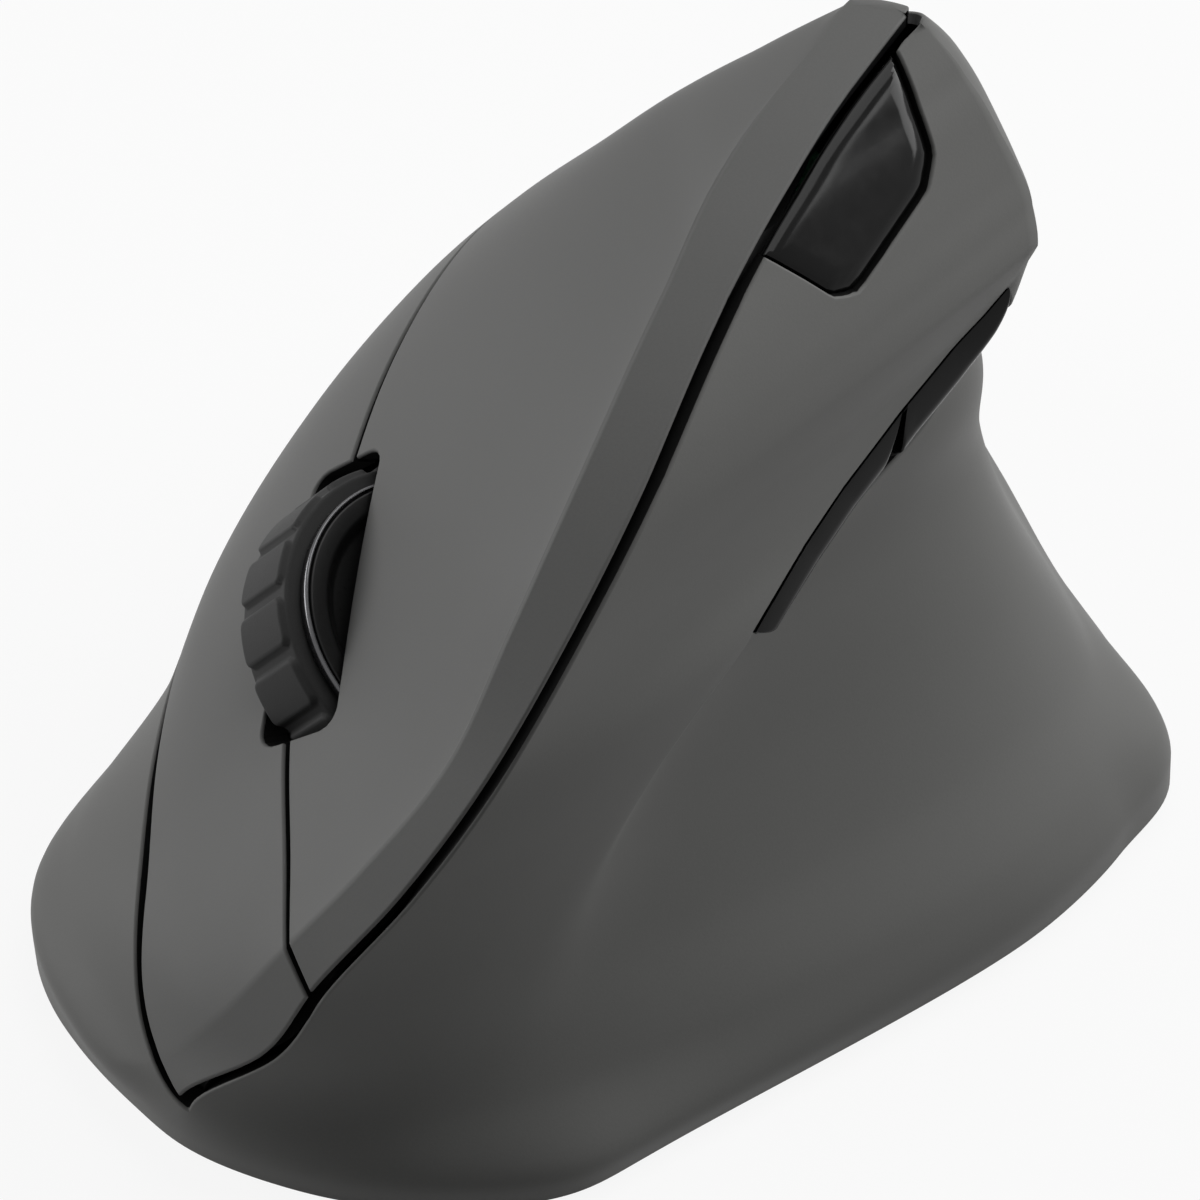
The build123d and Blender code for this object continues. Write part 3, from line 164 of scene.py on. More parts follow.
def unit(vectors):
    """Vectors divided by their lengths."""
    return vectors / np.maximum(np.linalg.norm(vectors, axis=-1, keepdims=True), 1e-12)


def eased(table, share):
    """A table's values at shares of the height. On each step the value is the straight line between
    the two levels, plus s(1 - s) times what each end's slope adds to that line. The slope at a level
    is the mean of its two steps, or nothing where they turn back."""
    table = np.asarray(table, float)
    shape = (-1,) + (1,) * (table.ndim - 1)
    step = np.diff(level_shares)
    rise = np.diff(table, axis=0) / step.reshape(shape)
    slope = np.concatenate([rise[:1], np.zeros_like(rise[1:]), rise[-1:]])
    slope[1:-1] = np.where(rise[:-1] * rise[1:] > 0, (rise[:-1] + rise[1:]) / 2, 0)
    row = np.clip(np.searchsorted(level_shares, share, side="right") - 1, 0, len(step) - 1)
    part = ((share - level_shares[row]) / step[row]).reshape(shape)
    run = step[row].reshape(shape)
    change = table[row + 1] - table[row]
    low = slope[row] * run - change
    high = change - slope[row + 1] * run
    return table[row] + change * part + part * (1 - part) * (low * (1 - part) + high * part)


def end_slopes(stops, at):
    """Weights that give, at one end stop, the slope of the polynomial through all the stops."""
    weights = np.zeros(len(stops))
    for i, stop in enumerate(stops):
        others = np.delete(stops, i)
        terms = [np.prod(at - np.delete(others, k)) for k in range(len(others))]
        weights[i] = np.sum(terms) / np.prod(stop - others)
    return weights


def curve_rows(stops, run, end_stops):
    """Weights of the values at the stops on a smooth curve. Between two stops the curve is the cubic
    with their values and slopes. The slopes keep its bend steady across each inner stop, and at each
    end the slope is that of the polynomial through the nearest few stops."""
    stops = np.asarray(stops, float)
    count = len(stops)
    step = np.diff(stops)
    unit_rows = np.eye(count)
    balance = np.zeros((count, count))
    target = np.zeros((count, count))
    for i in range(1, count - 1):
        before, after = step[i - 1], step[i]
        balance[i, i - 1:i + 2] = after, 2 * (before + after), before
        rise_before = (unit_rows[i] - unit_rows[i - 1]) / before
        rise_after = (unit_rows[i + 1] - unit_rows[i]) / after
        target[i] = 3 * (after * rise_before + before * rise_after)
    balance[0, 0] = balance[-1, -1] = 1
    target[0, :end_stops] = end_slopes(stops[:end_stops], stops[0])
    target[-1, count - end_stops:] = end_slopes(stops[-end_stops:], stops[-1])
    slope = np.linalg.solve(balance, target)
    row = np.clip(np.searchsorted(stops, run, side="right") - 1, 0, count - 2)
    long = step[row][:, None]
    part = ((run - stops[row]) / step[row])[:, None]
    return (
        (2 * part**3 - 3 * part**2 + 1) * unit_rows[row]
        + (part**3 - 2 * part**2 + part) * long * slope[row]
        + (3 * part**2 - 2 * part**3) * unit_rows[row + 1]
        + (part**3 - part**2) * long * slope[row + 1]
    )


def smooth_line(points, count=400):
    """Many points on a smooth curve through a few, spaced by the chords between them."""
    points = np.asarray(points, float)
    chords = np.linalg.norm(np.diff(points, axis=0), axis=1)
    stops = np.concatenate([[0], np.cumsum(chords)]) / chords.sum()
    return curve_rows(stops, np.linspace(0, 1, count), min(4, len(points))) @ points


# Body surface
plan = np.array((width, length))
fine_steps = 2001
fine_shares = np.linspace(0, 1, fine_steps)
round_rows = curve_rows(edge_run_shares, np.linspace(0, 1, round_columns, endpoint=False), 4)


def swell(value, start, end):
    """From nothing at the start to one at the end, level at both."""
    part = np.clip((value - start) / (end - start), 0, 1)
    return part * part * (3 - 2 * part)


def level_of(share):
    """Height of a share of the body. Over the last of it the top is raised by the crown."""
    return body_foot + share * body_height + crown * swell(share, crown_share, 1)


def share_of(height):
    """The share of the body at a height, held between nothing and one."""
    return np.interp(height, level_of(fine_shares), fine_shares)


def groove_place(share):
    """The groove's place at each share. Near the top it bends towards the thumb side."""
    place = eased(groove_shares, share) * plan
    place[:, 0] += np.interp(share, groove_trim_shares, groove_trims)
    return place


def outline_points(share, inset):
    """Eleven points of the level outline at each share, each moved inwards, square to the line of
    its two neighbours."""
    groove = groove_place(share)
    edge = eased(scoop_edge_shares, share) * plan
    edge[:, 0] += np.interp(share, edge_trim_shares, edge_trims)
    bow = eased(spine_bow_shares, share)[:, None]
    middle = (groove + edge) / 2 + bow * plan * (groove_pull_share, -1)
    ring = [groove, middle, edge]
    for table in (
        scoop_shares, heel_shares, palm_shares, tail_shares,
        hip_shares, side_shares, finger_shares, crease_shares,
    ):
        ring.append(eased(table, share) * plan)
    ring = np.stack(ring, axis=1)
    along = unit(np.roll(ring, -1, axis=1) - np.roll(ring, 1, axis=1))
    return ring + np.stack([-along[..., 1], along[..., 0]], axis=-1) * inset


def hills(column, sizes):
    """The sum of raised cosines over the columns, each with a middle, a half width and a height."""
    away = [np.clip(np.abs(column - middle) / half, 0, 1) for middle, half, _ in sizes]
    return sum(
        high * (1 + np.cos(math.pi * far)) / 2 for far, (_, _, high) in zip(away, sizes)
    )


def heel_move(share, columns):
    """How far each point is moved at the heel: low down its corner is drawn out, and above that its
    flank is drawn in."""
    column = np.arange(columns)
    low = 1 - swell(share, *heel_low)
    high = (1 - low) * (1 - swell(share, *heel_high))
    move = low[:, None] * hills(column, heel_corner) + high[:, None] * hills(column, heel_flank)
    return move[..., None] * heel_way


def skin(share, inset):
    """Rows of points round the body at shares of its height. A row is the parabola through three
    points over the spine plate, the smooth curve through nine points round the body, and the
    straight line over the bevel back to the groove."""
    ring = outline_points(share, inset)
    groove, middle, edge = ring[:, 0], ring[:, 1], ring[:, 2]
    first = np.linalg.norm(middle - groove, axis=1)
    second = np.linalg.norm(edge - middle, axis=1)
    bend = (first / (first + second))[:, None, None]
    run = np.linspace(0, 1, plate_columns, endpoint=False)[None, :, None]
    plate = (
        groove[:, None] * (run - bend) * (run - 1) / bend
        + middle[:, None] * run * (run - 1) / (bend * (bend - 1))
        + edge[:, None] * run * (run - bend) / (1 - bend)
    )
    sides = np.einsum("ck,nkd->ncd", round_rows, ring[:, 2:])
    run = np.linspace(0, 1, bevel_columns, endpoint=False)[None, :, None]
    bevel = ring[:, -1:] + (groove[:, None] - ring[:, -1:]) * run
    flat = np.concatenate([plate, sides, bevel], axis=1)
    height = np.broadcast_to(level_of(share)[:, None, None], flat[..., :1].shape)
    rows = np.concatenate([flat, height], axis=2)
    return rows + heel_move(share, rows.shape[1])


def inner_skin(share, inset):
    """The skin drawn in by the inset. Near the top of the ridge the inset falls off with the height
    that is left, and the rows sink a little instead."""
    left = np.clip((1 - share) / (1 - thin_top_share), thin_top_least, 1)[:, None, None]
    rows = skin(share, inset * left)
    rows[..., 2] -= thin_top_drop * (1 - left[..., 0])
    return rows


def softened(rows, share):
    """The rows with two of their corners eased: low down the nose's corner at the groove, and up to
    the thumb buttons the corner along the scoop. Each row is moved towards its own running mean,
    weighted by a raised cosine, as far as the corner's part falls off with height and distance."""
    reach = soft_columns
    window = 1 + np.cos(np.linspace(-math.pi, math.pi, 2 * reach + 1))
    window /= window.sum()
    wrapped = np.concatenate([rows[:, -reach:], rows, rows[:, :reach]], axis=1)
    mean = sum(
        weight * wrapped[:, shift:shift + rows.shape[1]] for shift, weight in enumerate(window)
    )
    column = np.arange(rows.shape[1])
    part = np.zeros(rows.shape[:2])
    for corner, low, high in soft_corners:
        away = np.abs((column - corner + rows.shape[1] // 2) % rows.shape[1] - rows.shape[1] // 2)
        near_corner = np.clip(1 - (away - reach) / reach, 0, 1)
        low_down = np.clip((high - share) / (high - low), 0, 1)
        part = np.maximum(part, near_corner * low_down[:, None])
    return rows + (mean - rows) * (part * part * (3 - 2 * part))[..., None]


def with_cap(rows, rise):
    """The rows, and more that shrink to a point over the top row, each a little higher."""
    top = rows[-1:]
    centre = top.mean(axis=1, keepdims=True)
    shares = np.array(cap_shares + (0.0,))[:, None, None]
    cap = centre + (top - centre) * shares
    cap[..., 2] += rise * (1 - shares[..., 0] ** 2)
    return np.concatenate([rows, cap])


def grid_normals(grid):
    """Outward directions on the grid: the cross product of the step along a row and the step up a
    column. Rows turn sharply at three columns, so each stretch between them is taken by itself, and
    where two stretches meet their directions are added."""
    closed = np.concatenate([grid, grid[:, :1]], axis=1)
    up = np.gradient(closed, axis=0)
    normals = np.zeros_like(grid)
    ends = np.cumsum([0, plate_columns, round_columns, bevel_columns])
    for start, end in zip(ends, ends[1:]):
        columns = np.arange(start, end + 1)
        along = np.gradient(closed[:, columns], axis=1)
        normals[:, columns % grid.shape[1]] += unit(np.cross(along, up[:, columns]))
    normals[-1] = (0, 0, 1)
    return unit(normals)


def grid_triangles(rows, columns, poles=1):
    """Triangles of a grid whose rows are closed. Its last row is one point, and with two poles its
    first row is one too."""
    index = np.arange(rows * columns).reshape(rows, columns)
    index[-1] = index[-1, 0]
    if poles == 2:
        index[0] = index[0, 0]
    a, b = index[:-1], np.roll(index[:-1], -1, axis=1)
    c, d = np.roll(index[1:], -1, axis=1), index[1:]
    lower = np.stack([a, b, c], axis=-1)[poles - 1:].reshape(-1, 3)
    upper = np.stack([a, c, d], axis=-1)[:-1].reshape(-1, 3)
    return np.concatenate([lower, upper])


row_shares = np.linspace(0, 1, body_rows)
body_grid = with_cap(softened(skin(row_shares, 0), row_shares), cap_crown)
body_place = body_grid.reshape(-1, 3)
body_normal = grid_normals(body_grid).reshape(-1, 3)
body_triangles = grid_triangles(*body_grid.shape[:2])
shell_inner = with_cap(inner_skin(row_shares, wall), 0).reshape(-1, 3)
cover_inner = with_cap(inner_skin(row_shares, cover_wall), 0).reshape(-1, 3)


class Face:
    """A flat place on the body, with an origin, a long way, a cross way and a way out."""

    def __init__(self, origin, long, out):
        self.origin = np.array(origin)
        self.out = unit(np.array(out))
        long = np.array(long) - self.out * np.dot(long, self.out)
        self.long = unit(long)
        self.cross = np.cross(self.out, self.long)

    def local(self, points):
        offset = points - self.origin
        return offset @ self.long, offset @ self.cross, offset @ self.out

    def point(self, u, v, w):
        return self.origin + u * self.long + v * self.cross + w * self.out


finger_face = Face(
    (-0.205 * width, -0.240 * length, 0.475 * body_height + body_foot),
    (-0.148, 0.919, 0.366), (-0.777, -0.337, 0.531),
)
thumb_face = Face(
    (0.277 * width, -0.106 * length, 0.635 * body_height + body_foot),
    (0.242, 0.940, 0.242), (0.935, -0.292, 0.203),
)
spine_face = Face(
    (0.225 * width, -0.053 * length, 0.922 * body_height + body_foot),
    (0.151, 0.955, 0.255), (0.651, -0.291, 0.701),
)

# Lines on the body, each a height function that is nothing on the line
wheel_radius = 12.0
wheel_width = 7.6
wheel_side = 1.0
wheel_proud = 4.1
slot_length = 24.2
slot_width = wheel_width + 1.0
slot_corner = slot_width / 5
slot_shift = -0.4
face_reach = 12.0
thumb_top_shares = ((-0.151, -0.008), (0.148, -0.007))
thumb_low_shares = (
    (0.150, -0.018), (0.112, -0.039), (0.034, -0.045), (-0.050, -0.037),
    (-0.118, -0.025), (-0.153, -0.015),
)
resolution_shares = (
    (-0.098, 0.060), (0.103, 0.060), (0.055, -0.028), (0.034, -0.038), (-0.055, -0.036),
    (-0.071, -0.024),
)
resolution_corner = 1.4
resolution_gap = 0.22

seam_line = smooth_line([(y * length, body_foot + z * body_height) for y, z in seam_shares])
split_line = smooth_line(np.array(split_shares) * length)
thumb_low_line = smooth_line(np.array(thumb_low_shares)[::-1] * length)


def parting(points):
    """Distance in X from the parting surface, positive on the thumb side. At each height that
    surface is the line from the groove to a point behind the tail."""
    share = share_of(points[:, 2])
    groove = groove_place(share)
    rear_x = eased(parting_rear_shares, share) * width
    way_y = parting_rear_share * length - groove[:, 1]
    line_x = groove[:, 0] + (rear_x - groove[:, 0]) * (points[:, 1] - groove[:, 1]) / way_y
    return points[:, 0] - line_x


def seam(points):
    """Height over the lower seam of the finger side."""
    return points[:, 2] - np.interp(points[:, 1], seam_line[:, 0], seam_line[:, 1])


def cross_seam(points):
    """Distance behind the seam across the palm."""
    return points[:, 1] - cross_seam_share * length


def foot(points):
    """Height over the lower edge of the body."""
    return points[:, 2] - body_foot


def split(points):
    """Distance across the finger face from the split between the two buttons."""
    u, v, _ = finger_face.local(points)
    return v - np.interp(u, split_line[:, 0], split_line[:, 1])


def rounded_box(u, v, long, across, corner):
    """Distance outside a rounded rectangle: that to the rectangle less its corners, less the corner."""
    q = np.stack([np.abs(u) - long / 2 + corner, np.abs(v) - across / 2 + corner], axis=-1)
    outside = np.linalg.norm(np.maximum(q, 0), axis=-1)
    return outside + np.minimum(q.max(axis=-1), 0) - corner


def slot_edge(points):
    """Distance outside the wheel slot."""
    u, v, _ = finger_face.local(points)
    return rounded_box(u - slot_shift, v - wheel_side, slot_length, slot_width, slot_corner)


def near(face, points, values):
    """The values close to the face, and far outside the line elsewhere."""
    return np.where(np.abs(face.local(points)[2]) < face_reach, values, face_reach)


def scoop_edge(points):
    """Distance from the spine plate's edge into the plate. At each height it is taken along the mean
    of the outline's two ways at that corner, and it is negative in the scoop."""
    share = share_of(points[:, 2])
    ring = outline_points(share, 0)
    way = unit(unit(ring[:, 2] - ring[:, 1]) + unit(ring[:, 3] - ring[:, 2]))
    return near(thumb_face, points, -np.sum((points[:, :2] - ring[:, 2]) * way, axis=1))


def lens_low(points):
    """Distance under the curved lower line of the thumb buttons."""
    u, v, _ = thumb_face.local(points)
    line = np.interp(u, thumb_low_line[:, 0], thumb_low_line[:, 1])
    return near(thumb_face, points, line - v)


def lens_end(points, side, top, low):
    """Distance beyond one short end line of the thumb buttons."""
    u, v, _ = thumb_face.local(points)
    line = low[0] + (top[0] - low[0]) * (v - low[1]) / (top[1] - low[1])
    return near(thumb_face, points, side * (u - line))


def lens_left(points):
    """Distance beyond the front end line of the thumb buttons."""
    return lens_end(
        points, -1, np.array(thumb_top_shares[0]) * length, np.array(thumb_low_shares[-1]) * length
    )


def lens_right(points):
    """Distance beyond the rear end line of the thumb buttons."""
    return lens_end(
        points, 1, np.array(thumb_top_shares[1]) * length, np.array(thumb_low_shares[0]) * length
    )


def resolution_edge(points):
    """Distance outside the resolution button: that to its outline drawn in by the corner radius,
    less that radius. The outline is convex, so a point is outside if it is beyond any edge."""
    u, v, _ = spine_face.local(points)
    corners = np.array(resolution_shares) * length
    step = np.roll(corners, -1, axis=0) - corners
    out = unit(np.stack([-step[:, 1], step[:, 0]], axis=1))
    reach = np.sum(out * corners, axis=1) - resolution_corner
    following = np.roll(out, -1, axis=0)
    fresh = np.array([
        np.linalg.solve(np.stack([a, b]), (s, t))
        for a, b, s, t in zip(out, following, reach, np.roll(reach, -1))
    ])
    start = np.roll(fresh, 1, axis=0)
    offset = np.stack([u, v], axis=1)[:, None] - start
    run = fresh - start
    part = np.clip(np.sum(offset * run, axis=2) / np.sum(run * run, axis=1), 0, 1)
    away = np.linalg.norm(offset - run * part[..., None], axis=2).min(axis=1)
    beyond = (np.stack([u, v], axis=1) @ out.T - reach).max(axis=1)
    return near(spine_face, points, np.where(beyond > 0, away, -away) - resolution_corner)


def measured(line):
    """A line's value at each body point, how fast it changes along the skin, and which way. The
    change is taken from a small step along each axis, less its part across the skin."""
    value = line(body_place)
    steps = [(line(body_place + probe * axis) - value) / probe for axis in np.eye(3)]
    slope = np.stack(steps, axis=1)
    slope -= np.sum(slope * body_normal, axis=1, keepdims=True) * body_normal
    speed = np.maximum(np.linalg.norm(slope, axis=1), least_slope)
    return value, speed, slope / speed[:, None]


body_lines = {
    line.__name__: measured(line)
    for line in (
        parting, seam, cross_seam, foot, split, slot_edge, scoop_edge, lens_low, lens_left,
        lens_right, resolution_edge,
    )
}


def cut(table, triangles, column, level):
    """Triangles split along the line where a column of the vertex table reaches the level. Each
    crossed edge gets one new row of the table, weighted by the column's values at its two ends, and
    a triangle with one or two crossed edges becomes two or three."""
    value = table[:, column] - level
    value[np.abs(value) < snap] = 0
    after = np.roll(triangles, -1, axis=1)
    crossed = value[triangles] * value[after] < 0
    low = np.minimum(triangles, after)[crossed]
    high = np.maximum(triangles, after)[crossed]
    keys, index = np.unique(low * len(table) + high, return_inverse=True)
    low, high = keys // len(table), keys % len(table)
    part = (value[low] / (value[low] - value[high]))[:, None]
    fresh = table[low] * (1 - part) + table[high] * part
    fresh[:, column] = level
    middle = np.zeros_like(triangles)
    middle[crossed] = len(table) + index
    count = crossed.sum(axis=1)

    def turned(chosen, first):
        order = (first[:, None] + np.arange(3)) % 3
        rows = np.arange(len(first))[:, None]
        return triangles[chosen][rows, order], middle[chosen][rows, order]

    one = count == 1
    corner, new = turned(one, crossed[one].argmax(axis=1))
    halves = [
        np.stack([corner[:, 0], new[:, 0], corner[:, 2]], axis=1),
        np.stack([new[:, 0], corner[:, 1], corner[:, 2]], axis=1),
    ]
    two = count == 2
    corner, new = turned(two, crossed[two].argmin(axis=1))
    thirds = [
        np.stack([corner[:, 0], corner[:, 1], new[:, 1]], axis=1),
        np.stack([corner[:, 0], new[:, 1], new[:, 2]], axis=1),
        np.stack([new[:, 2], new[:, 1], corner[:, 2]], axis=1),
    ]
    triangles = np.concatenate([triangles[count == 0], *halves, *thirds])
    return np.concatenate([table, fresh]), triangles


def finished(name, places, triangles, normals, material, body, nodes, outside=None):
    """A mesh from arrays of places in millimetres, triangles and one direction per corner, which
    rides on a body and stands for CAD nodes. Triangles after the outside ones are black: partly the
    black inside of the moulding, partly painted shade on the walls of the seams and gaps."""
    mesh = bpy.data.meshes.new(name)
    mesh.vertices.add(len(places))
    mesh.vertices.foreach_set("co", (places * mm).astype(np.float32).ravel())
    mesh.loops.add(triangles.size)
    mesh.loops.foreach_set("vertex_index", triangles.astype(np.int32).ravel())
    mesh.polygons.add(len(triangles))
    mesh.polygons.foreach_set("loop_start", np.arange(0, triangles.size, 3, dtype=np.int32))
    mesh.update(calc_edges=True)
    if normals is not None:
        mesh.normals_split_custom_set(normals.reshape(-1, 3))
    mesh.materials.append(material)
    # The rims and insides take the black finish: partly the moulding's black inside, partly painted
    # shade in the seams and gaps
    if outside:
        mesh.materials.append(frame_black_and_seam_shade)
        side = (np.arange(len(triangles)) >= outside).astype(np.int32)
        mesh.polygons.foreach_set("material_index", side)
    piece = bpy.data.objects.new(name, mesh)
    bpy.context.scene.collection.objects.link(piece)
    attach(piece, body)
    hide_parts(*nodes)
    return piece


def body_piece(name, groups, inner, edge, lift, rise, material, body, node):
    """A closed wall cut from the body's skin. Each group of lines lets the wall stand where any of
    them does, and all groups must let it. A line is a name, a side and a shift. Within the edge's
    width the wall's height is the quarter ellipse of that width and of the rise, and it ends in a
    rim to the inner skin."""
    lines = [line for group in groups for line in group]
    columns = [body_place, body_normal, inner]
    for line_name, side, shift in lines:
        value, speed, way = body_lines[line_name]
        columns += [(side * (value - shift) / speed)[:, None], -side * way]
    table = np.concatenate(columns, axis=1)
    places = [9 + 4 * index for index in range(len(lines))]
    counts = [len(group) for group in groups]

    def reach(rows):
        values = rows[..., places]
        start, best = 0, []
        for count in counts:
            best.append(values[..., start:start + count].argmax(axis=-1) + start)
            start += count
        best = np.stack(best, axis=-1)
        chosen = np.take_along_axis(values, best, axis=-1)
        least = chosen.argmin(axis=-1)[..., None]
        return (
            np.take_along_axis(chosen, least, axis=-1)[..., 0],
            np.take_along_axis(best, least, axis=-1)[..., 0],
        )

    triangles = body_triangles
    distance = reach(table)[0]
    triangles = triangles[distance[triangles].max(axis=1) > -snap]
    for share in edge_shares:
        for column in places:
            table, triangles = cut(table, triangles, column, share * edge)
        if not share:
            triangles = triangles[reach(table[triangles].mean(axis=1))[0] > 0]
    used, triangles = np.unique(triangles, return_inverse=True)
    triangles = triangles.reshape(-1, 3)
    table = table[used]
    distance, active = reach(table)
    run = np.clip(distance / edge, 0, 1)
    height = np.sqrt(1 - (1 - run) ** 2)
    spot, normal, inside = table[:, :3], unit(table[:, 3:6]), table[:, 6:9]
    way_columns = np.array(places)[active][:, None] + 1 + np.arange(3)
    way = unit(np.take_along_axis(table, way_columns, axis=1))
    outer = spot + normal * (lift + rise * (height - 1))[:, None]
    outer_normal = unit(normal * (height / rise)[:, None] + way * ((1 - run) / edge)[:, None])
    after = np.roll(triangles, -1, axis=1)
    count = len(table)
    paired = np.isin(triangles * count + after, after * count + triangles)
    start, end = triangles[~paired], after[~paired]
    rim = np.concatenate([
        np.stack([end, start, start + count], axis=1),
        np.stack([end, start + count, end + count], axis=1),
    ])
    faces = np.concatenate([triangles, triangles[:, ::-1] + count, rim])
    normals = np.concatenate([
        outer_normal[triangles], -normal[triangles[:, ::-1]], way[rim % count]
    ])
    places = np.concatenate([outer, inside])
    # The inner skin and the rim come after the outside triangles and turn black, partly as painted
    # shade in the seams
    return finished(name, places, faces, normals, material, body, [node], len(triangles))


# Materials
def add_node(tree, kind, **values):
    """A node of the kind, with its settings, and its sockets by name or number."""
    made = tree.nodes.new(kind)
    for key, value in values.items():
        if key == "sockets":
            for socket, content in value.items():
                if isinstance(content, bpy.types.NodeSocket):
                    tree.links.new(content, made.inputs[socket])
                else:
                    made.inputs[socket].default_value = content
        else:
            setattr(made, key, value)
    return made


def noise(tree, place, scale, detail=3.0, roughness=0.55):
    """Cloudy noise at a scale per metre."""
    return add_node(
        tree, "ShaderNodeTexNoise",
        sockets={"Vector": place, "Scale": scale, "Detail": detail, "Roughness": roughness},
    ).outputs["Fac"]


def ranged(tree, value, low, high, start=0.3, end=0.7):
    """A value moved from one range to another."""
    return add_node(
        tree, "ShaderNodeMapRange",
        sockets={"Value": value, "From Min": start, "From Max": end, "To Min": low, "To Max": high},
    ).outputs["Result"]


def tinted(tree, value, low, high):
    """A colour between two, by a value."""
    return add_node(
        tree, "ShaderNodeMix", data_type="RGBA",
        sockets={0: value, 6: (*low, 1.0), 7: (*high, 1.0)},
    ).outputs[2]


def shaded(colour, share):
    """A colour made lighter or darker by a share."""
    return tuple(channel * share for channel in colour)


def moulded(name, colour, gloss, grain, depth, specular=0.5, metal=0.0, change=0.08, stretch=None):
    """A finish with faint clouds of colour and roughness and a fine grain. gloss is its roughest and
    smoothest, grain is the grain's size and depth its depth, both in millimetres."""
    material = bpy.data.materials.new(name)
    material.use_nodes = True
    tree = material.node_tree
    shader = tree.nodes["Principled BSDF"]
    place = add_node(tree, "ShaderNodeTexCoord").outputs["Object"]
    if stretch:
        place = add_node(
            tree, "ShaderNodeMapping", sockets={"Vector": place, "Scale": stretch}
        ).outputs["Vector"]
    clouds = noise(tree, place, 45.0)
    fine = noise(tree, place, 1.0 / (grain * mm), 2.0)
    both = add_node(
        tree, "ShaderNodeMath", operation="MULTIPLY_ADD", sockets={0: fine, 1: 0.6, 2: clouds}
    ).outputs[0]
    mixed = ranged(tree, both, 0.0, 1.0, 0.55, 1.05)
    low, high = shaded(colour, 1 - change), shaded(colour, 1 + change)
    tree.links.new(tinted(tree, mixed, low, high), shader.inputs["Base Color"])
    tree.links.new(ranged(tree, both, gloss[1], gloss[0], 0.55, 1.05), shader.inputs["Roughness"])
    bump = add_node(
        tree, "ShaderNodeBump", sockets={"Strength": 1.0, "Distance": depth * mm, "Height": fine}
    )
    tree.links.new(bump.outputs["Normal"], shader.inputs["Normal"])
    shader.inputs["Metallic"].default_value = metal
    shader.inputs["Specular IOR Level"].default_value = specular
    return material


def circuit_board(name):
    """Green lacquer over a faint net of copper tracks."""
    material = moulded(name, (0.012, 0.085, 0.035), (0.4, 0.3), 0.4, 0.004)
    tree = material.node_tree
    shader = tree.nodes["Principled BSDF"]
    place = add_node(tree, "ShaderNodeTexCoord").outputs["Object"]
    tracks = add_node(
        tree, "ShaderNodeTexBrick",
        sockets={
            "Vector": place, "Color1": (0.012, 0.085, 0.035, 1), "Color2": (0.014, 0.1, 0.04, 1),
            "Mortar": (0.03, 0.17, 0.07, 1), "Scale": 250.0, "Mortar Size": 0.03,
        },
    )
    tree.links.new(tracks.outputs["Color"], shader.inputs["Base Color"])
    return material


def clear_plastic(name, colour):
    """Clear moulded plastic with a faint tint and slightly uneven polish."""
    material = moulded(name, colour, (0.1, 0.04), 0.8, 0.002, change=0.03)
    shader = material.node_tree.nodes["Principled BSDF"]
    shader.inputs["Transmission Weight"].default_value = 0.9
    shader.inputs["IOR"].default_value = 1.49
    return material


def banded(name, low, high, size):
    """Two tones in bands along the object's length, as on a printed battery can."""
    material = moulded(name, low, (0.35, 0.22), 0.6, 0.002, metal=0.6)
    tree = material.node_tree
    shader = tree.nodes["Principled BSDF"]
    place = add_node(tree, "ShaderNodeTexCoord").outputs["Object"]
    waves = add_node(
        tree, "ShaderNodeTexWave", bands_direction="Y",
        sockets={"Vector": place, "Scale": size, "Distortion": 0.0},
    ).outputs["Fac"]
    step = ranged(tree, waves, 0.0, 1.0, 0.78, 0.82)
    tree.links.new(tinted(tree, step, low, high), shader.inputs["Base Color"])
    return material


shell_finish = moulded(
    "soft_grey_shell", (0.108, 0.108, 0.105), (0.62, 0.5), 0.22, 0.006, 0.14, change=0.05
)
cover_finish = moulded(
    "soft_grey_cover", (0.104, 0.104, 0.102), (0.6, 0.48), 0.22, 0.006, 0.14, change=0.05
)
# Black of the inner frame, also put on the rims and insides of the cut shells, where it is partly
# painted shade in the seams and gaps
frame_black_and_seam_shade = moulded("black_frame_and_painted_seam_shade", (0.004, 0.004, 0.004), (0.6, 0.45), 0.3, 0.005, 0.1)
piano_black = moulded(
    "polished_black_key", (0.003, 0.003, 0.003), (0.16, 0.09), 1.2, 0.0006, 0.13, change=0.2
)
rubber = moulded("wheel_rubber", (0.026, 0.026, 0.026), (0.72, 0.55), 0.16, 0.012, 0.15, change=0.15)
bright_ring = moulded(
    "dark_plated_ring", (0.085, 0.085, 0.088), (0.3, 0.18), 0.5, 0.0008, metal=1.0, change=0.04
)
hub_black = moulded("hub_black", (0.008, 0.008, 0.008), (0.35, 0.25), 0.3, 0.003, 0.15, change=0.1)
base_black = moulded("base_moulding", (0.028, 0.028, 0.028), (0.6, 0.48), 0.3, 0.008, 0.4, change=0.1)
switch_black = moulded("switch_case", (0.025, 0.025, 0.026), (0.5, 0.35), 0.4, 0.004, change=0.1)
part_grey = moulded("grey_moulding", (0.11, 0.11, 0.112), (0.55, 0.42), 0.3, 0.006, change=0.08)
slick_pad = moulded("slick_pad", (0.02, 0.02, 0.021), (0.4, 0.28), 0.25, 0.003, change=0.12)
turned_steel = moulded(
    "turned_steel", (0.5, 0.5, 0.51), (0.4, 0.25), 0.2, 0.002, metal=1.0, stretch=(1, 1, 8)
)
zinc_plate = moulded("zinc_plate", (0.42, 0.42, 0.43), (0.45, 0.3), 0.25, 0.003, metal=1.0)
chip_black = moulded("chip_package", (0.014, 0.014, 0.015), (0.5, 0.4), 0.15, 0.004, change=0.12)
lens_clear = clear_plastic("clear_lens", (0.86, 0.88, 0.9))
lamp_red = clear_plastic("red_lamp_cap", (0.5, 0.03, 0.04))
board_green = circuit_board("green_circuit_board")
cell_can = banded("battery_can", (0.05, 0.055, 0.06), (0.35, 0.34, 0.3), 20.0)

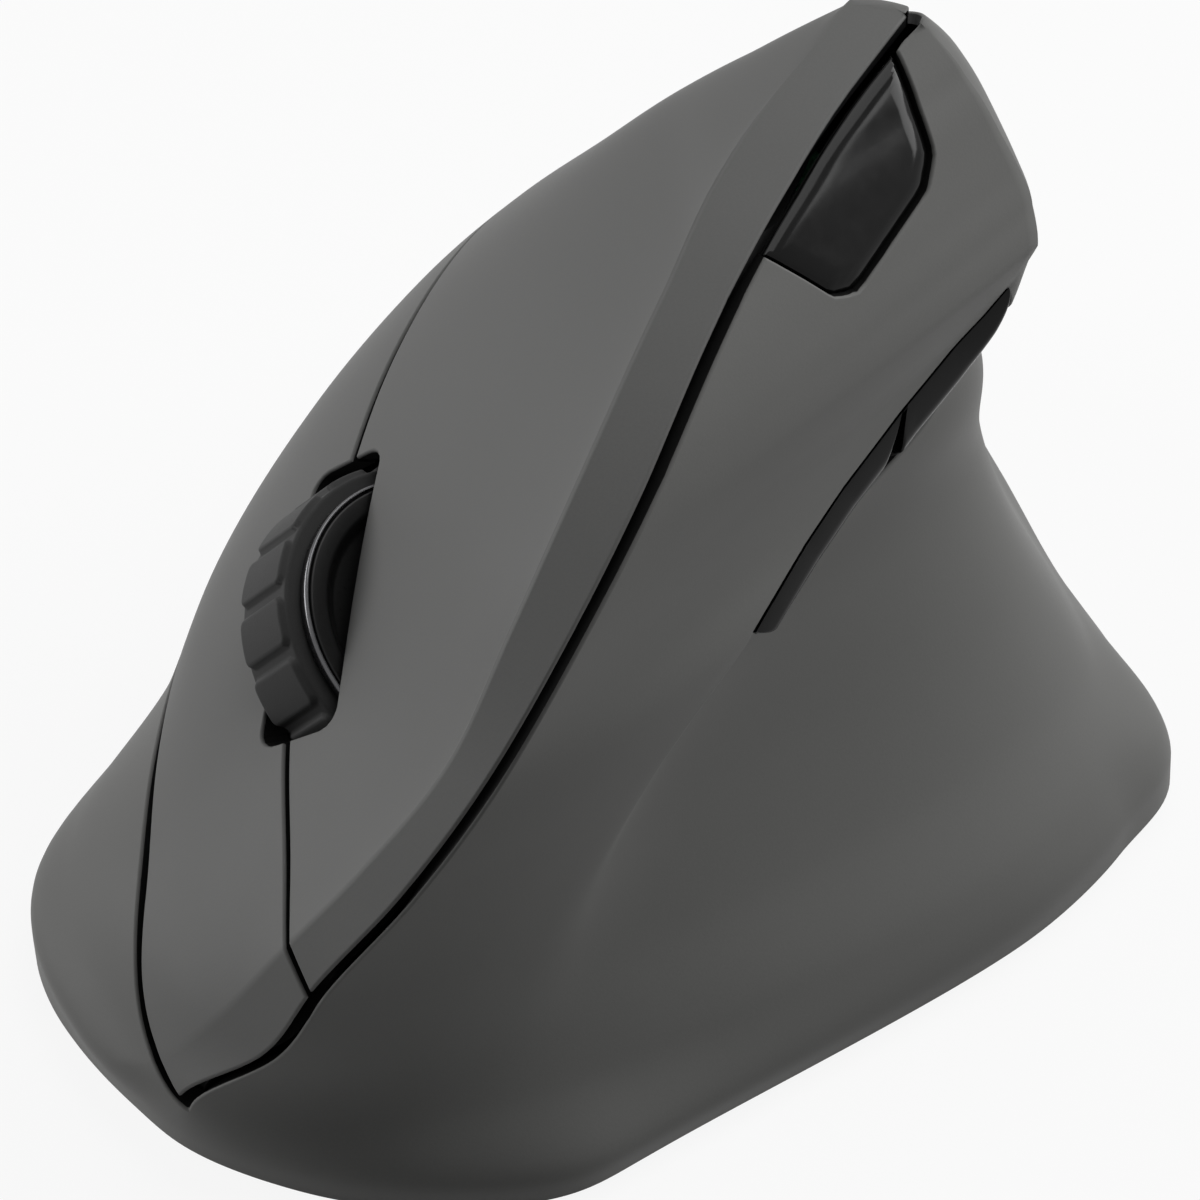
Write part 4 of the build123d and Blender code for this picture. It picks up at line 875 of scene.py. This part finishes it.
node_finishes = {
    "button_frame": frame_black_and_seam_shade,
    "wheel_axle": turned_steel,
    "wheel_cradle": frame_black_and_seam_shade,
    "wheel_encoder": part_grey,
    "wheel_spring": turned_steel,
    "wheel_board": board_green,
    "finger_board": board_green,
    "thumb_board": board_green,
    "resolution_board": board_green,
    "main_board": board_green,
    "middle_switch": switch_black,
    "button_switches": switch_black,
    "small_switches": switch_black,
    "base_plate": base_black,
    "battery_door": base_black,
    "battery_holder": base_black,
    "battery_cells": cell_can,
    "battery_contacts": zinc_plate,
    "battery_springs": turned_steel,
    "main_chip": chip_black,
    "sensor": chip_black,
    "sensor_lens": lens_clear,
    "sensor_light": lamp_red,
    "power_slider": part_grey,
    "power_case": switch_black,
    "receiver": switch_black,
    "glide_feet": slick_pad,
    "base_screws": zinc_plate,
    "board_screws": zinc_plate,
}
for node_name, finish in node_finishes.items():
    node_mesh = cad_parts[node_name].data
    node_mesh.materials.clear()
    node_mesh.materials.append(finish)

# Shells and covers, cut from the body's skin
edge_round = 0.25
groove_left = groove_width / 2
groove_right = 0.5
half_split = 0.3
half_cross = cross_gap / 2

# How far from the groove, and up to what height, the walls are held clear inside
clear_columns = 60
clear_shares = (0.35, 0.5)


def held_clear(inner, columns, side, gap):
    """Moves the inner skin along the groove in X until it is the gap away from the parting surface,
    so that the walls stay clear when a button is pressed. The move fades out over the given shares."""
    grid = inner.reshape(body_grid.shape)[:body_rows, columns]
    past = gap - side * parting(grid.reshape(-1, 3)).reshape(grid.shape[:2])
    fade = 1 - swell(row_shares, *clear_shares)
    grid[..., 0] += side * np.maximum(0, past) * fade[:, None]


held_clear(cover_inner, slice(-clear_columns, None), -1, groove_left + clearance)
held_clear(shell_inner, slice(plate_columns), 1, groove_right + 2 * clearance)
lens_lines = ("lens_low", "lens_left", "lens_right")
body_piece(
    "shell", (
        (("parting", 1, groove_right), ("seam", -1, 0.0)),
        (("scoop_edge", 1, 0.0),) + tuple((line, 1, clearance) for line in lens_lines),
        (("resolution_edge", 1, resolution_gap),),
        (("foot", 1, 0.0),),
    ),
    shell_inner, edge_round, 0.0, edge_round, shell_finish, "shell", "main_shell",
)
cover_lines = ((("parting", -1, -groove_left),), (("seam", 1, seam_gap),))
button_lines = cover_lines + ((("cross_seam", -1, -half_cross),), (("slot_edge", 1, 0.0),))
body_piece(
    "left_cover", button_lines + ((("split", -1, -half_split),),),
    cover_inner, edge_round, 0.0, edge_round, cover_finish, "left_button", "left_button",
)
body_piece(
    "right_cover", button_lines + ((("split", 1, half_split),),),
    cover_inner, edge_round, 0.0, edge_round, cover_finish, "right_button", "right_button",
)
body_piece(
    "palm_shell", cover_lines + ((("cross_seam", 1, half_cross),),),
    cover_inner, edge_round, 0.0, edge_round, cover_finish, "shell", "palm_cover",
)

# Thumb buttons. Each is a section carried along the spine plate's edge: from that edge a face leans
# out over the scoop, turns in a round corner, and a side falls back to the scoop.
corner_steps = 6
key_gap = 0.12
face_lean = math.radians(24)
side_lean = math.radians(63)
key_depth = 1.4
key_rounds = (0.12, 0.75, 0.5, 0.3, 0.3)
key_steps = 70
key_overrun_share = 0.06
key_samples = 200
skin_lean = 0.866
least_width = 0.25

# A thumb button's low and high share, its face's width, its ends' slants and their lengths
thumb_keys = {
    "forward": (0.563, 0.650, 2.2, (1.2, -3.4), (1.0, 1.3)),
    "back": (0.653, 0.722, 2.75, (-3.9, 0.0), (0.8, 6.0)),
}


def rounded_path(points, radius):
    """A closed path whose corners are turned in small curves: each is the parabola between a point
    the radius before the corner and one the radius after it."""
    points = np.asarray(points, float)
    before = unit(np.roll(points, 1, axis=-2) - points)
    after = unit(np.roll(points, -1, axis=-2) - points)
    radius = np.broadcast_to(radius, points.shape[:-1])[..., None]
    run = np.linspace(0, 1, corner_steps)[:, None]
    start = (points + before * radius)[..., None, :]
    end = (points + after * radius)[..., None, :]
    path = start * (1 - run) ** 2 + 2 * points[..., None, :] * run * (1 - run) + end * run**2
    return path.reshape(*points.shape[:-2], -1, 2)


def thumb_key(name, low, high, wide, slants, ends):
    """A thumb button between two shares of the height. The face's width falls off towards each end
    as a quarter ellipse of that end's length, and each end is cut at a slant."""
    share = np.linspace(low - key_overrun_share, high + key_overrun_share, key_samples)
    edge = skin(share, 0)[:, plate_columns]
    arc = np.concatenate([[0], np.cumsum(np.linalg.norm(np.diff(edge, axis=0), axis=1))])
    first, last = np.interp((low, high), share, arc)
    run = (1 - np.cos(np.linspace(0, math.pi, key_steps))) / 2
    along = first + (last - first) * run
    spot = np.stack([np.interp(along, arc, edge[:, axis]) for axis in range(3)], axis=1)
    u, v, _ = thumb_face.local(spot)
    depth = (v - np.interp(u, thumb_low_line[:, 0], thumb_low_line[:, 1])) / skin_lean - clearance
    left = np.clip((along - first) / ends[0], 0, 1)
    right = np.clip((last - along) / ends[1], 0, 1)
    fall = np.sqrt(np.clip((1 - (1 - left) ** 2) * (1 - (1 - right) ** 2), 0, 1))
    face = np.maximum(wide * fall, least_width)
    depth = np.maximum(depth, face)
    nothing = np.zeros_like(face)
    corners = np.stack([
        np.stack([nothing + key_gap, nothing + key_gap], axis=1),
        np.stack([face * math.cos(face_lean), face * math.sin(face_lean)], axis=1),
        np.stack([depth * math.cos(side_lean), depth * math.sin(side_lean)], axis=1),
        np.stack([
            depth * math.cos(side_lean) - key_depth * math.sin(side_lean),
            depth * math.sin(side_lean) + key_depth * math.cos(side_lean),
        ], axis=1),
        np.stack([nothing - key_gap, nothing + key_depth], axis=1),
    ], axis=1)
    rounds = np.array(key_rounds) * np.minimum(1, face / wide)[:, None]
    section = rounded_path(corners, rounds)
    slant = np.clip(section[..., 0] / (wide * math.cos(face_lean)), 0, 1)
    shift = (slants[0] * (1 - run) + slants[1] * run)[:, None] * slant
    place = along[:, None] + shift
    spot = np.stack([np.interp(place, arc, edge[:, axis]) for axis in range(3)], axis=-1)
    tangent = unit(edge[-1] - edge[0])
    over = unit(np.cross(tangent, spine_face.out))
    under = np.cross(tangent, over)
    grid = spot + section[..., :1] * over + section[..., 1:] * under
    poles = grid.mean(axis=1, keepdims=True) + np.zeros_like(grid)
    grid = np.concatenate([poles[:1], grid, poles[-1:]])
    triangles = grid_triangles(*grid.shape[:2], poles=2)
    return finished(
        f"{name}_key", grid.reshape(-1, 3), triangles, None, piano_black,
        f"{name}_button", [f"{name}_button"],
    )


for name, sizes in thumb_keys.items():
    thumb_key(name, *sizes)

# Sunken resolution button
key_wall = 1.1
key_lines = ((("resolution_edge", -1, 0.0),), (("parting", 1, groove_right),))
resolution_sink = 0.05
resolution_round = 2.0
resolution_fall = 0.7
key_inner = body_place - body_normal * key_wall
body_piece(
    "resolution_key", key_lines,
    key_inner, resolution_round, -resolution_sink, resolution_fall, piano_black,
    "resolution_button", "resolution_button",
)

# Scroll wheel
wheel_centre = finger_face.point(0, wheel_side, wheel_proud - wheel_radius)
wheel_low = -wheel_width / 2
wheel_high = wheel_width / 2
ring_width = 1.1
ring_radius = 11.3
ring_wall = 0.45
dish_radius = 9.4
dish_depth = 0.8
boss_radius = 3.0
boss_reach = 4.55
axle_radius = 1.5
tyre_radius = 12.5
pad_radius = 12.95
tyre_reach = 4.2
hub_radius = 8.7
pad_count = 16
pad_width = 6.4
pad_gap = 0.9
pad_corner = 0.7
pad_round = 0.28
pad_side = 0.2
tyre_round = 0.35
turn_steps = 192
pad_steps = 26
tread_steps = 44
ring_round = 0.3
hub_round = 0.2


def turned_grid(heights, radii, angles):
    """Points at heights along the wheel's axle and radii from it, turned round it by the angles."""
    way = (
        np.cos(angles)[..., None] * finger_face.long + np.sin(angles)[..., None] * -finger_face.out
    )
    return wheel_centre + heights[..., None] * finger_face.cross + radii[..., None] * way


def ring_grid_triangles(rows, columns):
    """Triangles of a grid that is closed both ways."""
    index = np.arange(rows * columns).reshape(rows, columns)
    a, b = index, np.roll(index, -1, axis=1)
    c, d = np.roll(b, -1, axis=0), np.roll(a, -1, axis=0)
    both = np.concatenate([np.stack([a, b, c], axis=-1), np.stack([a, c, d], axis=-1)])
    return both.reshape(-1, 3)


def turned_piece(name, points, radius, material, body, node):
    """A closed path of heights and radii, with small round corners, turned round the axle."""
    path = rounded_path(points, radius)
    angles = np.linspace(0, 2 * math.pi, turn_steps, endpoint=False)
    grid = turned_grid(*np.broadcast_arrays(path[:, :1], path[:, 1:], angles[None]))
    triangles = ring_grid_triangles(*grid.shape[:2])
    return finished(name, grid.reshape(-1, 3), triangles, None, material, body, [node])


def wheel_tyre():
    """The tyre's grid of turns and of steps over its cross-section. Its radius is that of the tyre
    plus the height of the pads, which follows a quarter circle in from each pad's rounded edge."""
    tyre_low = wheel_low + ring_width
    tyre_high = tyre_reach
    middle = tyre_high - pad_side - pad_width / 2
    sides = rounded_path(
        [
            (tyre_low, hub_radius), (tyre_low, tyre_radius),
            (tyre_high, tyre_radius), (tyre_high, hub_radius),
        ],
        tyre_round,
    )
    rise = 2 * corner_steps
    across = np.linspace(tyre_low + tyre_round, tyre_high - tyre_round, tread_steps)[1:-1]
    across = np.stack([across, np.full_like(across, tyre_radius)], axis=1)
    path = np.concatenate([sides[:rise], across, sides[rise:]])
    angles = np.linspace(0, 2 * math.pi, pad_count * pad_steps, endpoint=False)
    heights, radii, turns = np.broadcast_arrays(path[:, :1], path[:, 1:], angles[None])
    pitch = 2 * math.pi / pad_count
    arc = ((turns + pitch / 2) % pitch - pitch / 2) * wheel_radius
    pad_length = pitch * wheel_radius - pad_gap
    outside = rounded_box(heights - middle, arc, pad_width, pad_length, pad_corner)
    run = np.clip(-outside / pad_round, 0, 1)
    on_top = radii > tyre_radius - tyre_round
    lift = (pad_radius - tyre_radius) * np.sqrt(1 - (1 - run) ** 2) * on_top
    grid = turned_grid(heights, radii + lift, turns)
    triangles = ring_grid_triangles(*grid.shape[:2])
    return finished(
        "tyre", grid.reshape(-1, 3), triangles, None, rubber, "wheel", ["wheel_tyre"]
    )


wheel_tyre()
ring_low = wheel_low
ring_high = wheel_low + ring_width
turned_piece(
    "side_ring",
    [
        (ring_low, ring_radius - ring_wall), (ring_low, ring_radius),
        (ring_high, ring_radius), (ring_high, ring_radius - ring_wall),
    ],
    ring_round, bright_ring, "wheel", "wheel_ring",
)
dish_floor = wheel_low + dish_depth
turned_piece(
    "hub",
    [
        (-boss_reach, axle_radius), (-boss_reach, boss_radius), (dish_floor, boss_radius),
        (dish_floor, dish_radius - dish_depth), (wheel_low, dish_radius),
        (wheel_low, ring_radius - ring_wall), (ring_high, ring_radius - ring_wall),
        (ring_high, hub_radius), (wheel_high, hub_radius), (wheel_high, boss_radius),
        (boss_reach, boss_radius), (boss_reach, axle_radius),
    ],
    hub_round, hub_black, "wheel", "wheel_hub",
)

# Camera at the photograph's angle
camera_azimuth = 20.0
camera_elevation = 40.0
camera_distance = 550.0
camera_aim = (1.5, -18.2, 30.8)
camera_lens = 212.9


def way_from(azimuth, elevation):
    """The direction from the object to a point at an azimuth and elevation, in degrees."""
    a, e = math.radians(azimuth), math.radians(elevation)
    return Vector((math.sin(a) * math.cos(e), -math.cos(a) * math.cos(e), math.sin(e)))


def facing(thing, aim):
    """Turns an object so that its front points at the aim."""
    thing.rotation_euler = (Vector(aim) - thing.location).to_track_quat("-Z", "Y").to_euler()


camera = bpy.data.objects.new("camera", bpy.data.cameras.new("camera"))
camera.data.lens = camera_lens
camera.data.clip_start = 0.01
camera.data.clip_end = 20.0
aim = Vector(camera_aim) * mm
camera.location = aim + way_from(camera_azimuth, camera_elevation) * camera_distance * mm
facing(camera, aim)
bpy.context.scene.collection.objects.link(camera)
bpy.context.scene.camera = camera

# Soft lamps: an azimuth, an elevation, a distance and a size in metres, and a power in watts
lamp_aim = (0.0, 0.0, 0.03)
lamps = {
    "left_lamp": (-85.0, 12.0, 0.9, 0.6, 6.4),
    "back_right_lamp": (130.0, 30.0, 0.9, 0.6, 6.6),
    "near_top_lamp": (160.0, 75.0, 0.35, 0.25, 0.6),
}
for lamp_name, (azimuth, elevation, distance, size, power) in lamps.items():
    lamp_data = bpy.data.lights.new(lamp_name, "AREA")
    lamp_data.shape = "SQUARE"
    lamp_data.size = size
    lamp_data.energy = power
    lamp = bpy.data.objects.new(lamp_name, lamp_data)
    lamp.location = way_from(azimuth, elevation) * distance
    facing(lamp, lamp_aim)
    bpy.context.scene.collection.objects.link(lamp)


def seen_directly(tree):
    """One where a ray comes from the camera, a mirror or clear plastic, and nothing elsewhere."""
    path = add_node(tree, "ShaderNodeLightPath").outputs
    rays = add_node(
        tree, "ShaderNodeMath", operation="MAXIMUM",
        sockets={0: path["Is Camera Ray"], 1: path["Is Glossy Ray"]},
    ).outputs[0]
    return add_node(
        tree, "ShaderNodeMath", operation="MAXIMUM", sockets={0: rays, 1: path["Is Transmission Ray"]}
    ).outputs[0]


# Pale floor and white surroundings
floor_size = 3.0
floor_steps = 9
floor_white_share = 0.9
world_strength = 0.05
floor_material = bpy.data.materials.new("pale_floor")
floor_material.use_nodes = True
floor_tree = floor_material.node_tree
floor_shader = floor_tree.nodes["Principled BSDF"]
floor_shader.inputs["Roughness"].default_value = 0.9
floor_shader.inputs["Specular IOR Level"].default_value = 0.1
floor_place = add_node(floor_tree, "ShaderNodeTexCoord").outputs["Object"]
floor_clouds = noise(floor_tree, floor_place, 3.0)
floor_tree.links.new(
    tinted(floor_tree, floor_clouds, (0.6, 0.6, 0.6), (0.64, 0.64, 0.64)),
    floor_shader.inputs["Base Color"],
)
floor_glow = add_node(
    floor_tree, "ShaderNodeEmission", sockets={"Color": (1, 1, 1, 1), "Strength": 1.0}
)
floor_share = add_node(
    floor_tree, "ShaderNodeMath", operation="MULTIPLY",
    sockets={0: seen_directly(floor_tree), 1: floor_white_share},
).outputs[0]
floor_mix = add_node(
    floor_tree, "ShaderNodeMixShader",
    sockets={0: floor_share, 1: floor_shader.outputs[0], 2: floor_glow.outputs[0]},
)
floor_tree.links.new(floor_mix.outputs[0], floor_tree.nodes["Material Output"].inputs["Surface"])
floor_side = np.linspace(-floor_size / 2, floor_size / 2, floor_steps)
floor_x, floor_y = np.meshgrid(floor_side, floor_side, indexing="ij")
floor_points = np.stack([floor_x, floor_y, np.zeros_like(floor_x)], axis=-1).reshape(-1, 3)
floor_index = np.arange(floor_steps**2).reshape(floor_steps, floor_steps)
floor_faces = np.stack(
    [floor_index[:-1, :-1], floor_index[1:, :-1], floor_index[1:, 1:], floor_index[:-1, 1:]], axis=-1
).reshape(-1, 4)
floor_mesh = bpy.data.meshes.new("floor")
floor_mesh.from_pydata(floor_points.tolist(), [], floor_faces.tolist())
floor_mesh.materials.append(floor_material)
floor = bpy.data.objects.new("floor", floor_mesh)
bpy.context.scene.collection.objects.link(floor)

world = bpy.data.worlds.new("world")
bpy.context.scene.world = world
world.use_nodes = True
world_tree = world.node_tree
world_light = add_node(
    world_tree, "ShaderNodeBackground",
    sockets={"Color": (1, 1, 1, 1), "Strength": world_strength},
)
world_white = add_node(
    world_tree, "ShaderNodeBackground", sockets={"Color": (1, 1, 1, 1), "Strength": 1.0}
)
world_mix = add_node(
    world_tree, "ShaderNodeMixShader",
    sockets={0: seen_directly(world_tree), 1: world_light.outputs[0], 2: world_white.outputs[0]},
)
world_tree.links.new(world_mix.outputs[0], world_tree.nodes["World Output"].inputs["Surface"])
bpy.context.scene.view_settings.view_transform = "Standard"
